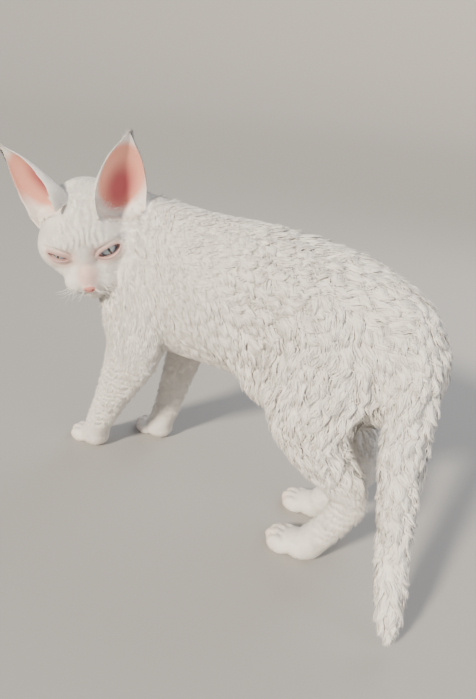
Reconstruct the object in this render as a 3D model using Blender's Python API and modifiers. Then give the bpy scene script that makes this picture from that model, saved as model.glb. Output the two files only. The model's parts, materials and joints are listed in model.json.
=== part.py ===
"""A young devon rex cat, standing with its head turned back over its left shoulder.

A still, life-size model. Metres, +Z up. The cat faces -Y and its left side is +X. The whole body is modelled as
one soft form, out to the tips of its short coat, and is then parted by thin cuts into the parts a person names.
"""

import math
import random

import bmesh
import bpy
import numpy as np
from mathutils import Matrix, Vector
from mathutils.bvhtree import BVHTree

MM = 0.001

# The gap that parted pieces keep
GAP = 0.3 * MM

# Surface grain of the body and, finer, of the head, and the triangles kept of each
BODY_VOXEL = 3.0 * MM
HEAD_VOXEL = 1.7 * MM
BODY_TRIANGLES = 4500
HEAD_TRIANGLES = 3000
LOFT_SIDES = 36
BODY_BLEND = 3.5
HEAD_BLEND = 2.4
PAW_BLEND = 0.8
JOIN_BLEND = 2.0
SOLE_PRESS = 0.6 * MM
FAR = 20.0
LOFT_SAMPLES = 40

# The head's own frame: origin midway between the eyes, +X to the cat's right, +Y out of the face, +Z up.
# Points in it are written in millimetres.
EYES_MID = Vector((0.0649, -0.0887, 0.2001))
HEAD_TURN = math.radians(136.5)
HEAD_PITCH = math.radians(-31.0)
HEAD_ROLL = math.radians(13.5)
EYEBALL = (16.9, -7.7, -3.0)
EYEBALL_RADIUS = 10.2
LID_THICKNESS = 1.7

# The torso along the spine: middle x, y, z, half-width, half-height
TORSO = (
    (0.012, -0.104, 0.162, 0.008, 0.010),
    (0.011, -0.098, 0.163, 0.025, 0.032),
    (0.008, -0.074, 0.170, 0.036, 0.053),
    (0.002, -0.042, 0.176, 0.040, 0.062),
    (0.000, 0.000, 0.178, 0.043, 0.062),
    (0.000, 0.040, 0.180, 0.044, 0.062),
    (0.000, 0.080, 0.179, 0.045, 0.061),
    (0.000, 0.110, 0.177, 0.044, 0.060),
    (0.000, 0.134, 0.172, 0.041, 0.056),
    (0.000, 0.156, 0.167, 0.034, 0.048),
    (0.000, 0.171, 0.163, 0.023, 0.033),
    (0.000, 0.178, 0.160, 0.008, 0.010),
)
NECK = (
    (0.002, -0.030, 0.190, 0.032, 0.042),
    (0.006, -0.062, 0.200, 0.033, 0.043),
    (0.014, -0.093, 0.208, 0.031, 0.037),
    (0.027, -0.114, 0.209, 0.028, 0.031),
    (0.040, -0.113, 0.208, 0.024, 0.026),
)
TAIL = (
    (0.000, 0.130, 0.206, 0.012, 0.014),
    (0.001, 0.152, 0.204, 0.019, 0.019),
    (0.008, 0.170, 0.187, 0.0195, 0.019),
    (0.018, 0.181, 0.156, 0.0175, 0.0175),
    (0.032, 0.189, 0.122, 0.0155, 0.0155),
    (0.045, 0.197, 0.090, 0.0125, 0.0125),
    (0.056, 0.205, 0.060, 0.0108, 0.0108),
    (0.064, 0.212, 0.036, 0.0095, 0.0095),
    (0.068, 0.216, 0.020, 0.0068, 0.0068),
    (0.0705, 0.219, 0.009, 0.0012, 0.0012),
)
FRONT_LEGS = {
    "left": (
        (0.024, -0.062, 0.176, 0.014, 0.026),
        (0.031, -0.064, 0.150, 0.0190, 0.032),
        (0.035, -0.058, 0.122, 0.0185, 0.029),
        (0.035, -0.068, 0.095, 0.0155, 0.0225),
        (0.032, -0.086, 0.062, 0.0130, 0.0165),
        (0.030, -0.101, 0.034, 0.0117, 0.0133),
        (0.029, -0.109, 0.016, 0.0114, 0.0122),
    ),
    "right": (
        (-0.018, -0.052, 0.176, 0.014, 0.026),
        (-0.026, -0.054, 0.150, 0.0185, 0.030),
        (-0.031, -0.050, 0.122, 0.0170, 0.024),
        (-0.030, -0.056, 0.095, 0.0145, 0.0185),
        (-0.029, -0.065, 0.062, 0.0128, 0.0152),
        (-0.028, -0.072, 0.034, 0.0118, 0.0132),
        (-0.027, -0.078, 0.016, 0.0112, 0.0122),
    ),
}
HIND_LEGS = {
    "left": (
        (0.024, 0.124, 0.188, 0.018, 0.034),
        (0.031, 0.118, 0.158, 0.021, 0.042),
        (0.034, 0.116, 0.128, 0.0205, 0.036),
        (0.033, 0.128, 0.102, 0.0165, 0.026),
        (0.030, 0.145, 0.084, 0.0125, 0.018),
        (0.028, 0.156, 0.068, 0.0114, 0.0142),
        (0.027, 0.147, 0.044, 0.0110, 0.0120),
        (0.026, 0.132, 0.019, 0.0117, 0.0122),
    ),
    "right": (
        (-0.024, 0.114, 0.188, 0.018, 0.034),
        (-0.031, 0.106, 0.158, 0.021, 0.041),
        (-0.034, 0.102, 0.128, 0.0205, 0.035),
        (-0.033, 0.112, 0.102, 0.0165, 0.026),
        (-0.030, 0.128, 0.082, 0.0125, 0.018),
        (-0.028, 0.140, 0.066, 0.0114, 0.0142),
        (-0.027, 0.130, 0.044, 0.0110, 0.0120),
        (-0.026, 0.112, 0.019, 0.0117, 0.0122),
    ),
}
# Each foot: middle x, y and size, beside a foot of the standard size below
PAWS = {
    "front_left": (0.0285, -0.118, 1.10),
    "front_right": (-0.0270, -0.086, 1.08),
    "hind_left": (0.0260, 0.116, 1.22),
    "hind_right": (-0.0265, 0.095, 1.15),
}
# A foot's masses in millimetres: the pad and four toes, towards -Y
PAW_MASSES = (
    ((0, 5, 8.0), (10.6, 13.5, 9.4)),
    ((-8.0, -6.5, 5.2), (4.6, 8.5, 6.2)),
    ((-2.9, -10.5, 5.4), (4.6, 9.0, 6.6)),
    ((2.9, -10.5, 5.4), (4.6, 9.0, 6.6)),
    ((8.0, -6.5, 5.2), (4.6, 8.5, 6.2)),
)

# The skin fold from belly to knee on each side, as an ellipsoid: middle and half-sizes
FLANK_FOLDS = {
    "left": ((0.024, 0.082, 0.134), (0.015, 0.038, 0.022)),
    "right": ((-0.024, 0.072, 0.134), (0.015, 0.038, 0.022)),
}

# The head's masses in millimetres of its frame: middle, half-sizes. Paired ones are given for one side.
HEAD_MIDDLE = (
    ((0, -36, 5.5), (34, 36, 26.5)),
    ((0, -11, 9), (24, 15, 12)),
    ((0, -14, -22), (20, 25, 14)),
    ((0, 2.5, -22), (15, 14, 11)),
    ((0, 8.5, -35), (9.5, 8.5, 7.4)),
    ((0, 0.5, -5), (9, 8, 13)),
    ((0, 10, -16), (6.5, 7.8, 7.5)),
    ((0, 16.8, -22.4), (5.2, 5.0, 4.6)),
)
HEAD_PAIRED = (
    ((23.5, -20, -8.0), (16.5, 21, 18.5)),
    ((15.5, -6, -17), (12, 12, 10)),
    ((10.8, 7.3, -26.4), (10.4, 9.4, 8.3)),
    ((15, -8.5, 7.5), (13, 10, 5.5)),
    ((22, -38, 9), (14, 15, 13)),
)

# An ear: base in the head's frame, direction, height and how far its opening turns outwards
EARS = {
    "left": ((-28, -28, 15), (-0.36, -0.42, 0.84), 61.5, math.radians(14)),
    "right": ((20, -33, 20.5), (31.5, -29, 40), 59.0, math.radians(26)),
}
EAR_THICKNESS = 1.5
# Up the ear: share of height, half-width, depth of the cup, half-angle that the cup wraps round
EAR_SECTIONS = (
    (-0.10, 18.0, 17.0, 122),
    (0.08, 21.5, 17.0, 112),
    (0.27, 21.5, 14.0, 100),
    (0.50, 18.5, 10.5, 88),
    (0.70, 13.5, 7.5, 78),
    (0.86, 7.0, 4.2, 70),
    (1.00, 0.9, 0.6, 62),
)
# The hollow at the bottom of the cup, in the ear's frame: middle and half-sizes
EAR_HOLLOW = ((0, 2, 8), (19.2, 11.3, 18))
EAR_COLUMNS = 11
EAR_ROWS = 12

# The thin cuts that part the animal: middle, normal and half-size of each
NECK_CUT = ((0.0102, -0.0852, 0.1915), (0.52, -0.60, 0.60), 0.085)
CUTS = (
    ((0.002, -0.046, 0.192), (0.10, -0.72, 0.68), 0.085),
    ((0.000, 0.020, 0.180), (0.0, 1.0, 0.0), 0.085),
    ((0.000, 0.082, 0.180), (0.0, 1.0, 0.14), 0.085),
    ((0.010, 0.1705, 0.168), (0.12, 0.98, -0.06), 0.056),
    ((0.027, 0.186, 0.134), (0.38, 0.24, -0.89), 0.026),
    ((0.052, 0.202, 0.071), (0.34, 0.26, -0.90), 0.022),
    ((0.036, -0.060, 0.131), (-0.70, 0.0, 0.72), 0.038),
    ((-0.034, -0.052, 0.131), (0.70, 0.0, 0.72), 0.036),
    ((0.036, 0.106, 0.134), (-0.70, 0.0, 0.72), 0.064),
    ((-0.036, 0.094, 0.134), (0.70, 0.0, 0.72), 0.064),
    ((0.0295, -0.103, 0.030), (0.08, 0.45, 0.89), 0.020),
    ((-0.0277, -0.0735, 0.030), (0.05, 0.28, 0.96), 0.020),
    ((0.0280, 0.153, 0.074), (0.12, -0.50, 0.85), 0.0235),
    ((-0.0280, 0.137, 0.073), (-0.12, -0.50, 0.85), 0.0225),
    ((0.0262, 0.137, 0.027), (0.0, 0.40, 0.92), 0.019),
    ((-0.0262, 0.118, 0.027), (0.0, 0.40, 0.92), 0.019),
)
# Each parted piece by name: about its middle
PIECES = {
    "neck": (-0.004, -0.070, 0.200),
    "chest": (0.002, -0.030, 0.175),
    "loin": (0.000, 0.050, 0.180),
    "rump": (0.000, 0.125, 0.175),
    "tail_root": (0.014, 0.185, 0.168),
    "tail_middle": (0.040, 0.194, 0.102),
    "tail_tip": (0.062, 0.210, 0.042),
    "front_leg_left": (0.034, -0.078, 0.080),
    "front_leg_right": (-0.030, -0.060, 0.080),
    "front_paw_left": (0.029, -0.115, 0.013),
    "front_paw_right": (-0.027, -0.083, 0.013),
    "thigh_left": (0.034, 0.122, 0.110),
    "thigh_right": (-0.034, 0.108, 0.110),
    "hock_left": (0.027, 0.150, 0.050),
    "hock_right": (-0.027, 0.133, 0.050),
    "hind_paw_left": (0.026, 0.122, 0.013),
    "hind_paw_right": (-0.026, 0.101, 0.013),
}

# The eyes: how far the gaze turns outwards and up, the slant, and for the left (-1) and the right (1) opening its
# half-width and how far it reaches up and down
GAZE_TURN = math.radians(22.0)
GAZE_LIFT = math.radians(12.0)
EYE_SLANT = math.radians(12.0)
EYE_OPENINGS = {-1: (10.3, 4.0, 4.6), 1: (8.6, 2.7, 3.0)}

# The lines of the philtrum and of the mouth on one side, in millimetres of the head's frame
PHILTRUM = ((0, 22.3, -26), (0, 20.3, -29), (0, 18.3, -31.7))
MOUTH = ((0, 19, -31.7), (4, 18.5, -32.8), (8, 16, -32.8), (11, 12.5, -31.8), (13, 9, -30.4))
GROOVE_RADIUS = 0.75
NOSTRIL = (2.7, 21.1, -23.1)
NOSTRIL_RADII = (1.1, 2.0, 0.9)

# The longer, wavy coat of the rear, the thighs and the tail: how far it stands over the core, and its locks
CORE_DEPTH = 2.2
TAIL_CORE_DEPTH = 1.8
LOCK_SEED = 11
LOCK_TRIES = 9000
LOCK_SPACING = 25.5
LOCK_LENGTH = 40.0
LOCK_WIDTH = 9.4
LOCK_WAVE = 3.0
LOCK_CLEARANCE = 6.0
TAIL_LOCK_SIZE = 0.68
# Along a lock: share of its length, height over the core, half-width and height of its ridge
LOCK_SECTIONS = ((0.0, -2.4, 0.7, 2.0), (0.34, -0.3, 1.0, 2.9), (0.7, 1.1, 0.78, 2.4), (1.0, 3.6, 0.0, 0.0))


# The spot on the floor under the middle of the whole cat's box: the finished parts are moved so that it is the
# origin
BOX_MIDDLE = Vector((0.0193, 0.0324, 0.0))

# Surface colours: red, green, blue, roughness
COAT = (0.84, 0.80, 0.74, 0.8)
EAR_SKIN = (0.82, 0.52, 0.47, 0.6)
EYE_BLUE = (0.42, 0.56, 0.66, 0.1)


def head_matrix():
    """Head frame to world: turned to the left from straight ahead, then pitched down and rolled."""
    turn = Matrix.Rotation(math.pi + HEAD_TURN, 4, "Z")
    pitch = Matrix.Rotation(HEAD_PITCH, 4, "X")
    roll = Matrix.Rotation(HEAD_ROLL, 4, "Y")
    return Matrix.Translation(EYES_MID) @ turn @ pitch @ roll @ Matrix.Scale(MM, 4)


HEAD = head_matrix()
WORLD_MM = Matrix.Scale(MM, 4)
BODY_LOFTS = (TORSO, NECK, TAIL, *FRONT_LEGS.values(), *HIND_LEGS.values())
HEAD_LOFTS = (NECK, TORSO[:6])


def clear_scene():
    for obj in list(bpy.data.objects):
        bpy.data.objects.remove(obj)


def make_material(name, look):
    material = bpy.data.materials.new(name)
    material.use_nodes = True
    shader = material.node_tree.nodes["Principled BSDF"]
    shader.inputs["Base Color"].default_value = (*look[:3], 1.0)
    shader.inputs["Roughness"].default_value = look[3]
    shader.inputs["Metallic"].default_value = 0.0
    return material


def add_object(name, mesh, collection, helper=False):
    obj = bpy.data.objects.new(name, mesh)
    collection.objects.link(obj)
    if helper:
        obj.hide_render = True
        obj.display_type = "WIRE"
    return obj


def mesh_from(bm, name):
    bmesh.ops.recalc_face_normals(bm, faces=bm.faces)
    mesh = bpy.data.meshes.new(name)
    bm.to_mesh(mesh)
    bm.free()
    return mesh


def settle(obj):
    """Work the object's modifiers into its mesh."""
    bpy.context.view_layer.update()
    graph = bpy.context.evaluated_depsgraph_get()
    mesh = bpy.data.meshes.new_from_object(obj.evaluated_get(graph))
    obj.modifiers.clear()
    obj.data = mesh
    return obj


def combine(obj, other, operation="DIFFERENCE"):
    """One Boolean step, worked in at once."""
    step = obj.modifiers.new("combine", "BOOLEAN")
    step.operation = operation
    step.solver = "MANIFOLD"
    step.object = other
    return settle(obj)


def thin_out(obj, triangles):
    """Reduce a mesh to about the wanted number of triangles."""
    obj.data.calc_loop_triangles()
    step = obj.modifiers.new("thin_out", "DECIMATE")
    step.ratio = triangles / len(obj.data.loop_triangles)
    step.use_collapse_triangulate = True
    return settle(obj)


def soften(obj, rounds):
    step = obj.modifiers.new("soften", "SMOOTH")
    step.iterations = rounds
    step.factor = 0.5
    return settle(obj)


def one_skin(obj, voxel):
    step = obj.modifiers.new("one_skin", "REMESH")
    step.mode = "VOXEL"
    step.voxel_size = voxel
    return settle(obj)


def loose_parts(mesh):
    """The separate closed surfaces of a mesh, largest first, as new meshes."""
    bm = bmesh.new()
    bm.from_mesh(mesh)
    bm.verts.index_update()
    label = [-1] * len(bm.verts)
    count = 0
    for seed in bm.verts:
        if label[seed.index] >= 0:
            continue
        label[seed.index] = count
        queue = [seed]
        while queue:
            vert = queue.pop()
            for edge in vert.link_edges:
                other = edge.other_vert(vert)
                if label[other.index] < 0:
                    label[other.index] = count
                    queue.append(other)
        count += 1
    bm.free()
    parts = []
    for part in range(count):
        bm = bmesh.new()
        bm.from_mesh(mesh)
        bm.verts.ensure_lookup_table()
        drop = [bm.verts[i] for i, own in enumerate(label) if own != part]
        bmesh.ops.delete(bm, geom=drop, context="VERTS")
        out = bpy.data.meshes.new("part")
        bm.to_mesh(out)
        volume = bm.calc_volume()
        bm.free()
        parts.append((volume, part, out))
    return [out for _, _, out in sorted(parts, key=lambda row: (-row[0], row[1]))]


def keep_largest(obj):
    obj.data = loose_parts(obj.data)[0]
    return obj


def smooth_path(points, count):
    """Rows along a Catmull-Rom curve through the given rows."""
    rows = np.array(points, float)
    last = len(rows) - 1
    ends = np.vstack([2 * rows[0] - rows[1], rows, 2 * rows[-1] - rows[-2]])
    out = []
    for t in np.linspace(0, last, count):
        i = min(int(t), last - 1)
        u = t - i
        a, b, c, d = ends[i : i + 4]
        bend = (2 * a - 5 * b + 4 * c - d) * u**2 + (3 * b - a - 3 * c + d) * u**3
        out.append(0.5 * (2 * b + (c - a) * u + bend))
    return np.array(out)


def bridge_rings(bm, rings):
    """Skin a row of closed rings and cap both ends."""
    sides = len(rings[0])
    for lower, upper in zip(rings, rings[1:]):
        for k in range(sides):
            n = (k + 1) % sides
            bm.faces.new((lower[k], lower[n], upper[n], upper[k]))
    bm.faces.new(list(reversed(rings[0])))
    bm.faces.new(rings[-1])


def add_loft(bm, stations):
    """A closed loft of ellipses. A station is x, y, z, half-width across the cat and half-depth."""
    rows = smooth_path(stations, LOFT_SAMPLES)
    middles = [Vector(row[:3]) for row in rows]
    rings = []
    for i, row in enumerate(rows):
        ahead = (middles[min(i + 1, LOFT_SAMPLES - 1)] - middles[max(i - 1, 0)]).normalized()
        sideways = Vector((1, 0, 0))
        across = (sideways - sideways.dot(ahead) * ahead).normalized()
        deep = ahead.cross(across)
        ring = []
        for k in range(LOFT_SIDES):
            a = 2 * math.pi * k / LOFT_SIDES
            ring.append(bm.verts.new(middles[i] + across * row[3] * math.cos(a) + deep * row[4] * math.sin(a)))
        rings.append(ring)
    bridge_rings(bm, rings)


def add_ball(bm, frame, middle, radii, around=32):
    """An ellipsoid in a frame whose units are millimetres."""
    place = frame @ Matrix.Translation(Vector(middle)) @ Matrix.Diagonal((*radii, 1.0))
    bmesh.ops.create_uvsphere(bm, u_segments=around, v_segments=around // 2, radius=1.0, matrix=place)


def paw_frame(x, y, size):
    return Matrix.Translation((x, y, 0.0)) @ Matrix.Scale(MM * size, 4)


def head_masses():
    lid = EYEBALL_RADIUS + LID_THICKNESS
    paired = (*HEAD_PAIRED, (EYEBALL, (lid, lid, lid)))
    sides = [((s * x, y, z), radii) for (x, y, z), radii in paired for s in (-1, 1)]
    return [*HEAD_MIDDLE, *sides]


def ball_depth(points, middle, radii):
    """Roughly how far each point lies outside an ellipsoid, all in millimetres."""
    away = (points - np.array(middle, float)) / np.array(radii, float)
    share = np.linalg.norm(away, axis=1) + 1e-9
    steep = np.linalg.norm(away / np.array(radii, float), axis=1) + 1e-9
    return share * (share - 1.0) / steep


def segment_depth(points, start, step, sizes):
    """How far points lie outside one straight stretch of a loft whose half-sizes run evenly."""
    length = np.linalg.norm(step)
    ahead = step / length
    across = np.array((1.0, 0, 0)) - ahead[0] * ahead
    across /= np.linalg.norm(across)
    offset = points - start
    along = np.clip(offset @ ahead, 0, length)
    offset = offset - along[:, None] * ahead
    share = (along / length)[:, None]
    wide, tall = (sizes[0] * (1 - share) + sizes[1] * share).T
    local = np.stack([offset @ across, offset @ np.cross(ahead, across), offset @ ahead], axis=1)
    radii = np.stack([wide, tall, np.minimum(wide, tall)], axis=1)
    away = local / radii
    size = np.linalg.norm(away, axis=1) + 1e-9
    steep = np.linalg.norm(away / radii, axis=1) + 1e-9
    return size * (size - 1.0) / steep


def loft_depth(points, stations):
    """Roughly how far each point lies outside a loft, all in millimetres."""
    rows = smooth_path(stations, 2 * len(stations)) / MM
    margin = rows[:, 3:].max() + FAR
    close = (points > rows[:, :3].min(axis=0) - margin) & (points < rows[:, :3].max(axis=0) + margin)
    close = close.all(axis=1)
    nearest = np.full(len(points), 1e3)
    for i in range(len(rows) - 1):
        step = rows[i + 1, :3] - rows[i, :3]
        stretch = segment_depth(points[close], rows[i, :3], step, rows[i : i + 2, 3:])
        nearest[close] = np.minimum(nearest[close], stretch)
    return nearest


def blended(depths, reach):
    """A soft union: where masses meet, the skin runs over the crease."""
    depths = np.array(depths)
    least = depths.min(axis=0)
    return least - reach * np.log(np.exp((least - depths) / reach).sum(axis=0))


def in_frame(points, frame):
    turned = np.array(frame.inverted())
    return points @ turned[:3, :3].T + turned[:3, 3]


def cat_depth(points, lofts, whole):
    """Roughly how far each point, in millimetres, lies outside the animal."""
    masses = [loft_depth(points, stations) for stations in lofts]
    if whole:
        masses += [ball_depth(points, Vector(m) / MM, Vector(r) / MM) for m, r in FLANK_FOLDS.values()]
    groups = [blended(masses, BODY_BLEND)]
    local = in_frame(points * MM, HEAD)
    groups.append(blended([ball_depth(local, *mass) for mass in head_masses()], HEAD_BLEND))
    for place in PAWS.values() if whole else ():
        local = in_frame(points * MM, paw_frame(*place))
        groups.append(blended([ball_depth(local, *mass) for mass in PAW_MASSES], PAW_BLEND))
    return blended(groups, JOIN_BLEND)


def ramp(values, start, end):
    """Nought before the start, one past the end, and smooth between."""
    share = np.clip((values - start) / (end - start), 0, 1)
    return share * share * (3 - 2 * share)


def core_depth(points):
    """How far the core lies under the tips of the long coat, in millimetres, at points in millimetres."""
    _, y, z = points.T
    body = ramp(y, 25, 75) * ramp(z, 72, 100)
    tail = ramp(y, 172, 190) * ramp(z, 20, 45)
    return np.maximum(body * CORE_DEPTH, tail * TAIL_CORE_DEPTH)


def seat_on_form(mesh, lofts, whole, rounds):
    """Move a skin's points along their normals until they lie on the blended form."""
    count = len(mesh.vertices)
    for _ in range(rounds):
        points = np.empty(count * 3)
        normals = np.empty(count * 3)
        mesh.vertices.foreach_get("co", points)
        mesh.vertices.foreach_get("normal", normals)
        points = points.reshape(-1, 3)
        depth = cat_depth(points / MM, lofts, whole) + core_depth(points / MM)
        step = np.clip(depth, -4, 4) * MM * 0.8
        points -= normals.reshape(-1, 3) * step[:, None]
        mesh.vertices.foreach_set("co", points.ravel())
        mesh.update()


def skin(name, voxel, helpers, whole=True):
    """The animal, or its head and neck alone, as one closed skin at a given grain."""
    lofts = BODY_LOFTS if whole else HEAD_LOFTS
    bm = bmesh.new()
    for stations in lofts:
        add_loft(bm, stations)
    if whole:
        for middle, radii in FLANK_FOLDS.values():
            add_ball(bm, WORLD_MM, Vector(middle) / MM, [r / MM for r in radii])
        for place in PAWS.values():
            for middle, radii in PAW_MASSES:
                add_ball(bm, paw_frame(*place), middle, radii)
    for middle, radii in head_masses():
        add_ball(bm, HEAD, middle, radii)
    obj = add_object(name, mesh_from(bm, name), helpers, helper=True)
    soften(one_skin(obj, voxel), 5)
    seat_on_form(obj.data, lofts, whole, 4)
    return keep_largest(soften(one_skin(obj, voxel), 4))


def level_soles(obj):
    """Press whatever lies under the floor plane up to it, which leaves each foot a small flat."""
    for vert in obj.data.vertices:
        vert.co.z = max(vert.co.z, SOLE_PRESS)
    for vert in obj.data.vertices:
        vert.co.z -= SOLE_PRESS
    return obj


def lie_of_coat(point):
    """The way the long coat lies: along the tail, and back and down over the rump and the thighs."""
    if point.y > 0.172:
        rows = [Vector(row[:3]) for row in TAIL]
        nearest = min(range(len(rows) - 1), key=lambda i: ((rows[i] + rows[i + 1]) / 2 - point).length)
        return (rows[nearest + 1] - rows[nearest]).normalized()
    low = min(max((0.200 - point.z) / 0.080, 0.0), 1.0)
    return Vector((0.0, 1.0 - 0.65 * low, -0.15 - 0.85 * low)).normalized()


def lock_axis(root, normal, size, tree, dice):
    """The middle line of one lock over the core's skin, with a wave to one side, and the skin's own normals."""
    lie = lie_of_coat(root)
    lie = (lie - lie.dot(normal) * normal).normalized()
    lie = (lie + normal.cross(lie) * dice.uniform(-0.3, 0.3)).normalized()
    across = normal.cross(lie)
    length = LOCK_LENGTH * dice.uniform(0.85, 1.15) * size * MM
    wave = LOCK_WAVE * size * dice.uniform(0.6, 1.2) * dice.choice((-1, 1)) * MM
    axis = []
    for share, height, _, _ in LOCK_SECTIONS:
        guess = root + lie * length * share + across * wave * math.sin(4.4 * share)
        spot, outwards, _, _ = tree.find_nearest(guess)
        axis.append((spot + outwards * height * MM, outwards.copy()))
    return axis


def add_lock(bm, axis, size):
    """A flat, tapered lock: rings of three corners, with the ridge on the outside, and a pointed tip."""
    rings = []
    for i, (point, outwards) in enumerate(axis[:-1]):
        ahead = (axis[i + 1][0] - axis[max(i - 1, 0)][0]).normalized()
        across = outwards.cross(ahead).normalized()
        wide = size * LOCK_WIDTH * LOCK_SECTIONS[i][2] * MM
        ridge = outwards * size * LOCK_SECTIONS[i][3] * MM
        rings.append([bm.verts.new(point + corner) for corner in (across * wide, ridge, -across * wide)])
    for lower, upper in zip(rings, rings[1:]):
        for k in range(3):
            n = (k + 1) % 3
            bm.faces.new((lower[k], lower[n], upper[n], upper[k]))
    bm.faces.new(list(reversed(rings[0])))
    tip = bm.verts.new(axis[-1][0])
    for k in range(3):
        bm.faces.new((rings[-1][k], rings[-1][(k + 1) % 3], tip))
    bmesh.ops.triangulate(bm, faces=bm.faces)


def on_tail(point):
    return point.y > 0.178


def clear_of_others(axis):
    """Whether a lock keeps off the masses that it doesn't grow from, so that it bridges no gap."""
    spots = np.array([tuple(point) for point, _ in axis]) / MM
    root = axis[0][0]
    if on_tail(root):
        others = [TORSO, *HIND_LEGS.values()]
    else:
        others = [TAIL[3:], HIND_LEGS["right" if root.x > 0 else "left"]]
    return min(loft_depth(spots, stations).min() for stations in others) > LOCK_CLEARANCE


def lock_size(point):
    return TAIL_LOCK_SIZE if on_tail(point) else 1.0


def lock_roots(form, dice):
    """Places for the locks, set apart evenly over the part of the form that the long coat covers."""
    mesh = form.data
    mesh.calc_loop_triangles()
    faces = [face for face in mesh.loop_triangles if core_depth(np.array([face.center]) / MM)[0] > 0.9]
    weights = [face.area for face in faces]
    kept = []
    for face in dice.choices(faces, weights, k=LOCK_TRIES):
        a, b = sorted((dice.random(), dice.random()))
        corners = [mesh.vertices[i].co for i in face.vertices]
        spot = corners[0] * a + corners[1] * (b - a) + corners[2] * (1 - b)
        normal = face.normal
        inner = normal.x * spot.x < -0.25 * abs(spot.x) and spot.z < 0.150 and spot.y < 0.172
        apart = LOCK_SPACING * lock_size(spot) * MM
        if inner or any((spot - other).length < apart for other, _ in kept):
            continue
        kept.append((spot, normal.copy()))
    return kept


def dress(form, helpers):
    """Join the locks of the long coat to the form, each fused with its root sunk in."""
    dice = random.Random(LOCK_SEED)
    group = bpy.data.collections.new("locks")
    helpers.children.link(group)
    tree = BVHTree.FromPolygons([v.co for v in form.data.vertices], [p.vertices for p in form.data.polygons])
    for root, normal in lock_roots(form, dice):
        size = lock_size(root) * dice.uniform(0.88, 1.12)
        axis = lock_axis(root, normal, size, tree, dice)
        if clear_of_others(axis):
            bm = bmesh.new()
            add_lock(bm, axis, size)
            add_object("lock", mesh_from(bm, "lock"), group, helper=True)
    step = form.modifiers.new("fuse", "BOOLEAN")
    step.operation = "UNION"
    step.solver = "MANIFOLD"
    step.operand_type = "COLLECTION"
    step.collection = group
    settle(form)
    for lock in list(group.objects):
        remove(lock)
    bpy.data.collections.remove(group)
    return keep_largest(form)


def facing_frame(middle, normal):
    """A frame at a point with +Z along a direction."""
    turned = Vector(normal).normalized().to_track_quat("Z", "Y").to_matrix().to_4x4()
    return Matrix.Translation(Vector(middle)) @ turned


def slab(name, middle, normal, half, thickness, helpers):
    """A thin disc that parts what it passes through."""
    bm = bmesh.new()
    place = facing_frame(middle, normal)
    bmesh.ops.create_cone(
        bm, cap_ends=True, segments=20, radius1=half, radius2=half, depth=thickness, matrix=place
    )
    return add_object(name, mesh_from(bm, name), helpers, helper=True)


def remove(obj):
    bpy.data.objects.remove(obj)


def part_body(helpers):
    """The pieces of the whole skin, by name. The head's own piece is made apart, with a finer grain."""
    form = thin_out(skin("form", BODY_VOXEL, helpers), BODY_TRIANGLES)
    level_soles(form)
    dress(form, helpers)
    for middle, normal, half in (NECK_CUT, *CUTS):
        disc = slab("cut", middle, normal, half, GAP, helpers)
        combine(form, disc)
        remove(disc)
    parts = loose_parts(form.data)[: len(PIECES) + 1]
    remove(form)
    named = {}
    for mesh in parts:
        middle = sum((v.co for v in mesh.vertices), Vector()) / len(mesh.vertices)
        if (middle - HEAD @ Vector((0, -20, 0))).length < 0.030:
            continue
        name = min(PIECES, key=lambda key: (Vector(PIECES[key]) - middle).length)
        named[name] = mesh
    return named


def bisected(obj, middle, normal):
    """Keep what lies beyond a plane, on the side its normal points to, and close the cut."""
    bm = bmesh.new()
    bm.from_mesh(obj.data)
    geometry = [*bm.verts, *bm.edges, *bm.faces]
    cut = bmesh.ops.bisect_plane(bm, geom=geometry, plane_co=middle, plane_no=normal, clear_inner=True)
    edges = [item for item in cut["geom_cut"] if isinstance(item, bmesh.types.BMEdge)]
    bmesh.ops.contextual_create(bm, geom=edges)
    bmesh.ops.triangulate(bm, faces=bm.faces)
    obj.data = mesh_from(bm, obj.name)
    return obj


def eye_frame(s):
    """The eye's frame: origin at the ball's middle, +Y along the gaze, +X towards the cat's right."""
    middle = Matrix.Translation((s * EYEBALL[0], EYEBALL[1], EYEBALL[2]))
    turn = Matrix.Rotation(-s * GAZE_TURN, 4, "Z") @ Matrix.Rotation(GAZE_LIFT, 4, "X")
    slant = Matrix.Rotation(-s * EYE_SLANT, 4, "Y")
    return HEAD @ middle @ turn @ slant


def cut_eye(head, s, helpers):
    """A socket for the ball, a hair wider than it, and the almond opening between the lids."""
    bm = bmesh.new()
    clear = EYEBALL_RADIUS + GAP / MM
    add_ball(bm, eye_frame(s), (0, 0, 0), (clear, clear, clear), 24)
    ball = add_object("socket", mesh_from(bm, "socket"), helpers, helper=True)
    half_width, up, down = EYE_OPENINGS[s]
    bm = bmesh.new()
    rings = []
    for depth, spread in ((6.0, 0.9), (11.0, 1.0), (18.0, 1.25)):
        ring = []
        for k in range(20):
            a = 2 * math.pi * k / 20
            tall = up if math.sin(a) > 0 else down
            x = half_width * math.cos(a) * spread
            z = tall * math.copysign(abs(math.sin(a)) ** 1.25, math.sin(a)) * spread
            ring.append(bm.verts.new(eye_frame(s) @ Vector((x, depth, z))))
        rings.append(ring)
    bridge_rings(bm, rings)
    opening = add_object("opening", mesh_from(bm, "opening"), helpers, helper=True)
    combine(head, ball)
    combine(head, opening)
    remove(ball)
    remove(opening)


def surface_points(head, points, lift):
    """Points on the head's skin, from points before it, sunk or lifted by so many millimetres."""
    tree = BVHTree.FromPolygons([v.co for v in head.data.vertices], [p.vertices for p in head.data.polygons])
    out = []
    for point in points:
        start = HEAD @ Vector(point)
        spot, normal, _, _ = tree.find_nearest(start)
        out.append(spot + normal * lift * MM)
    return out


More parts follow.
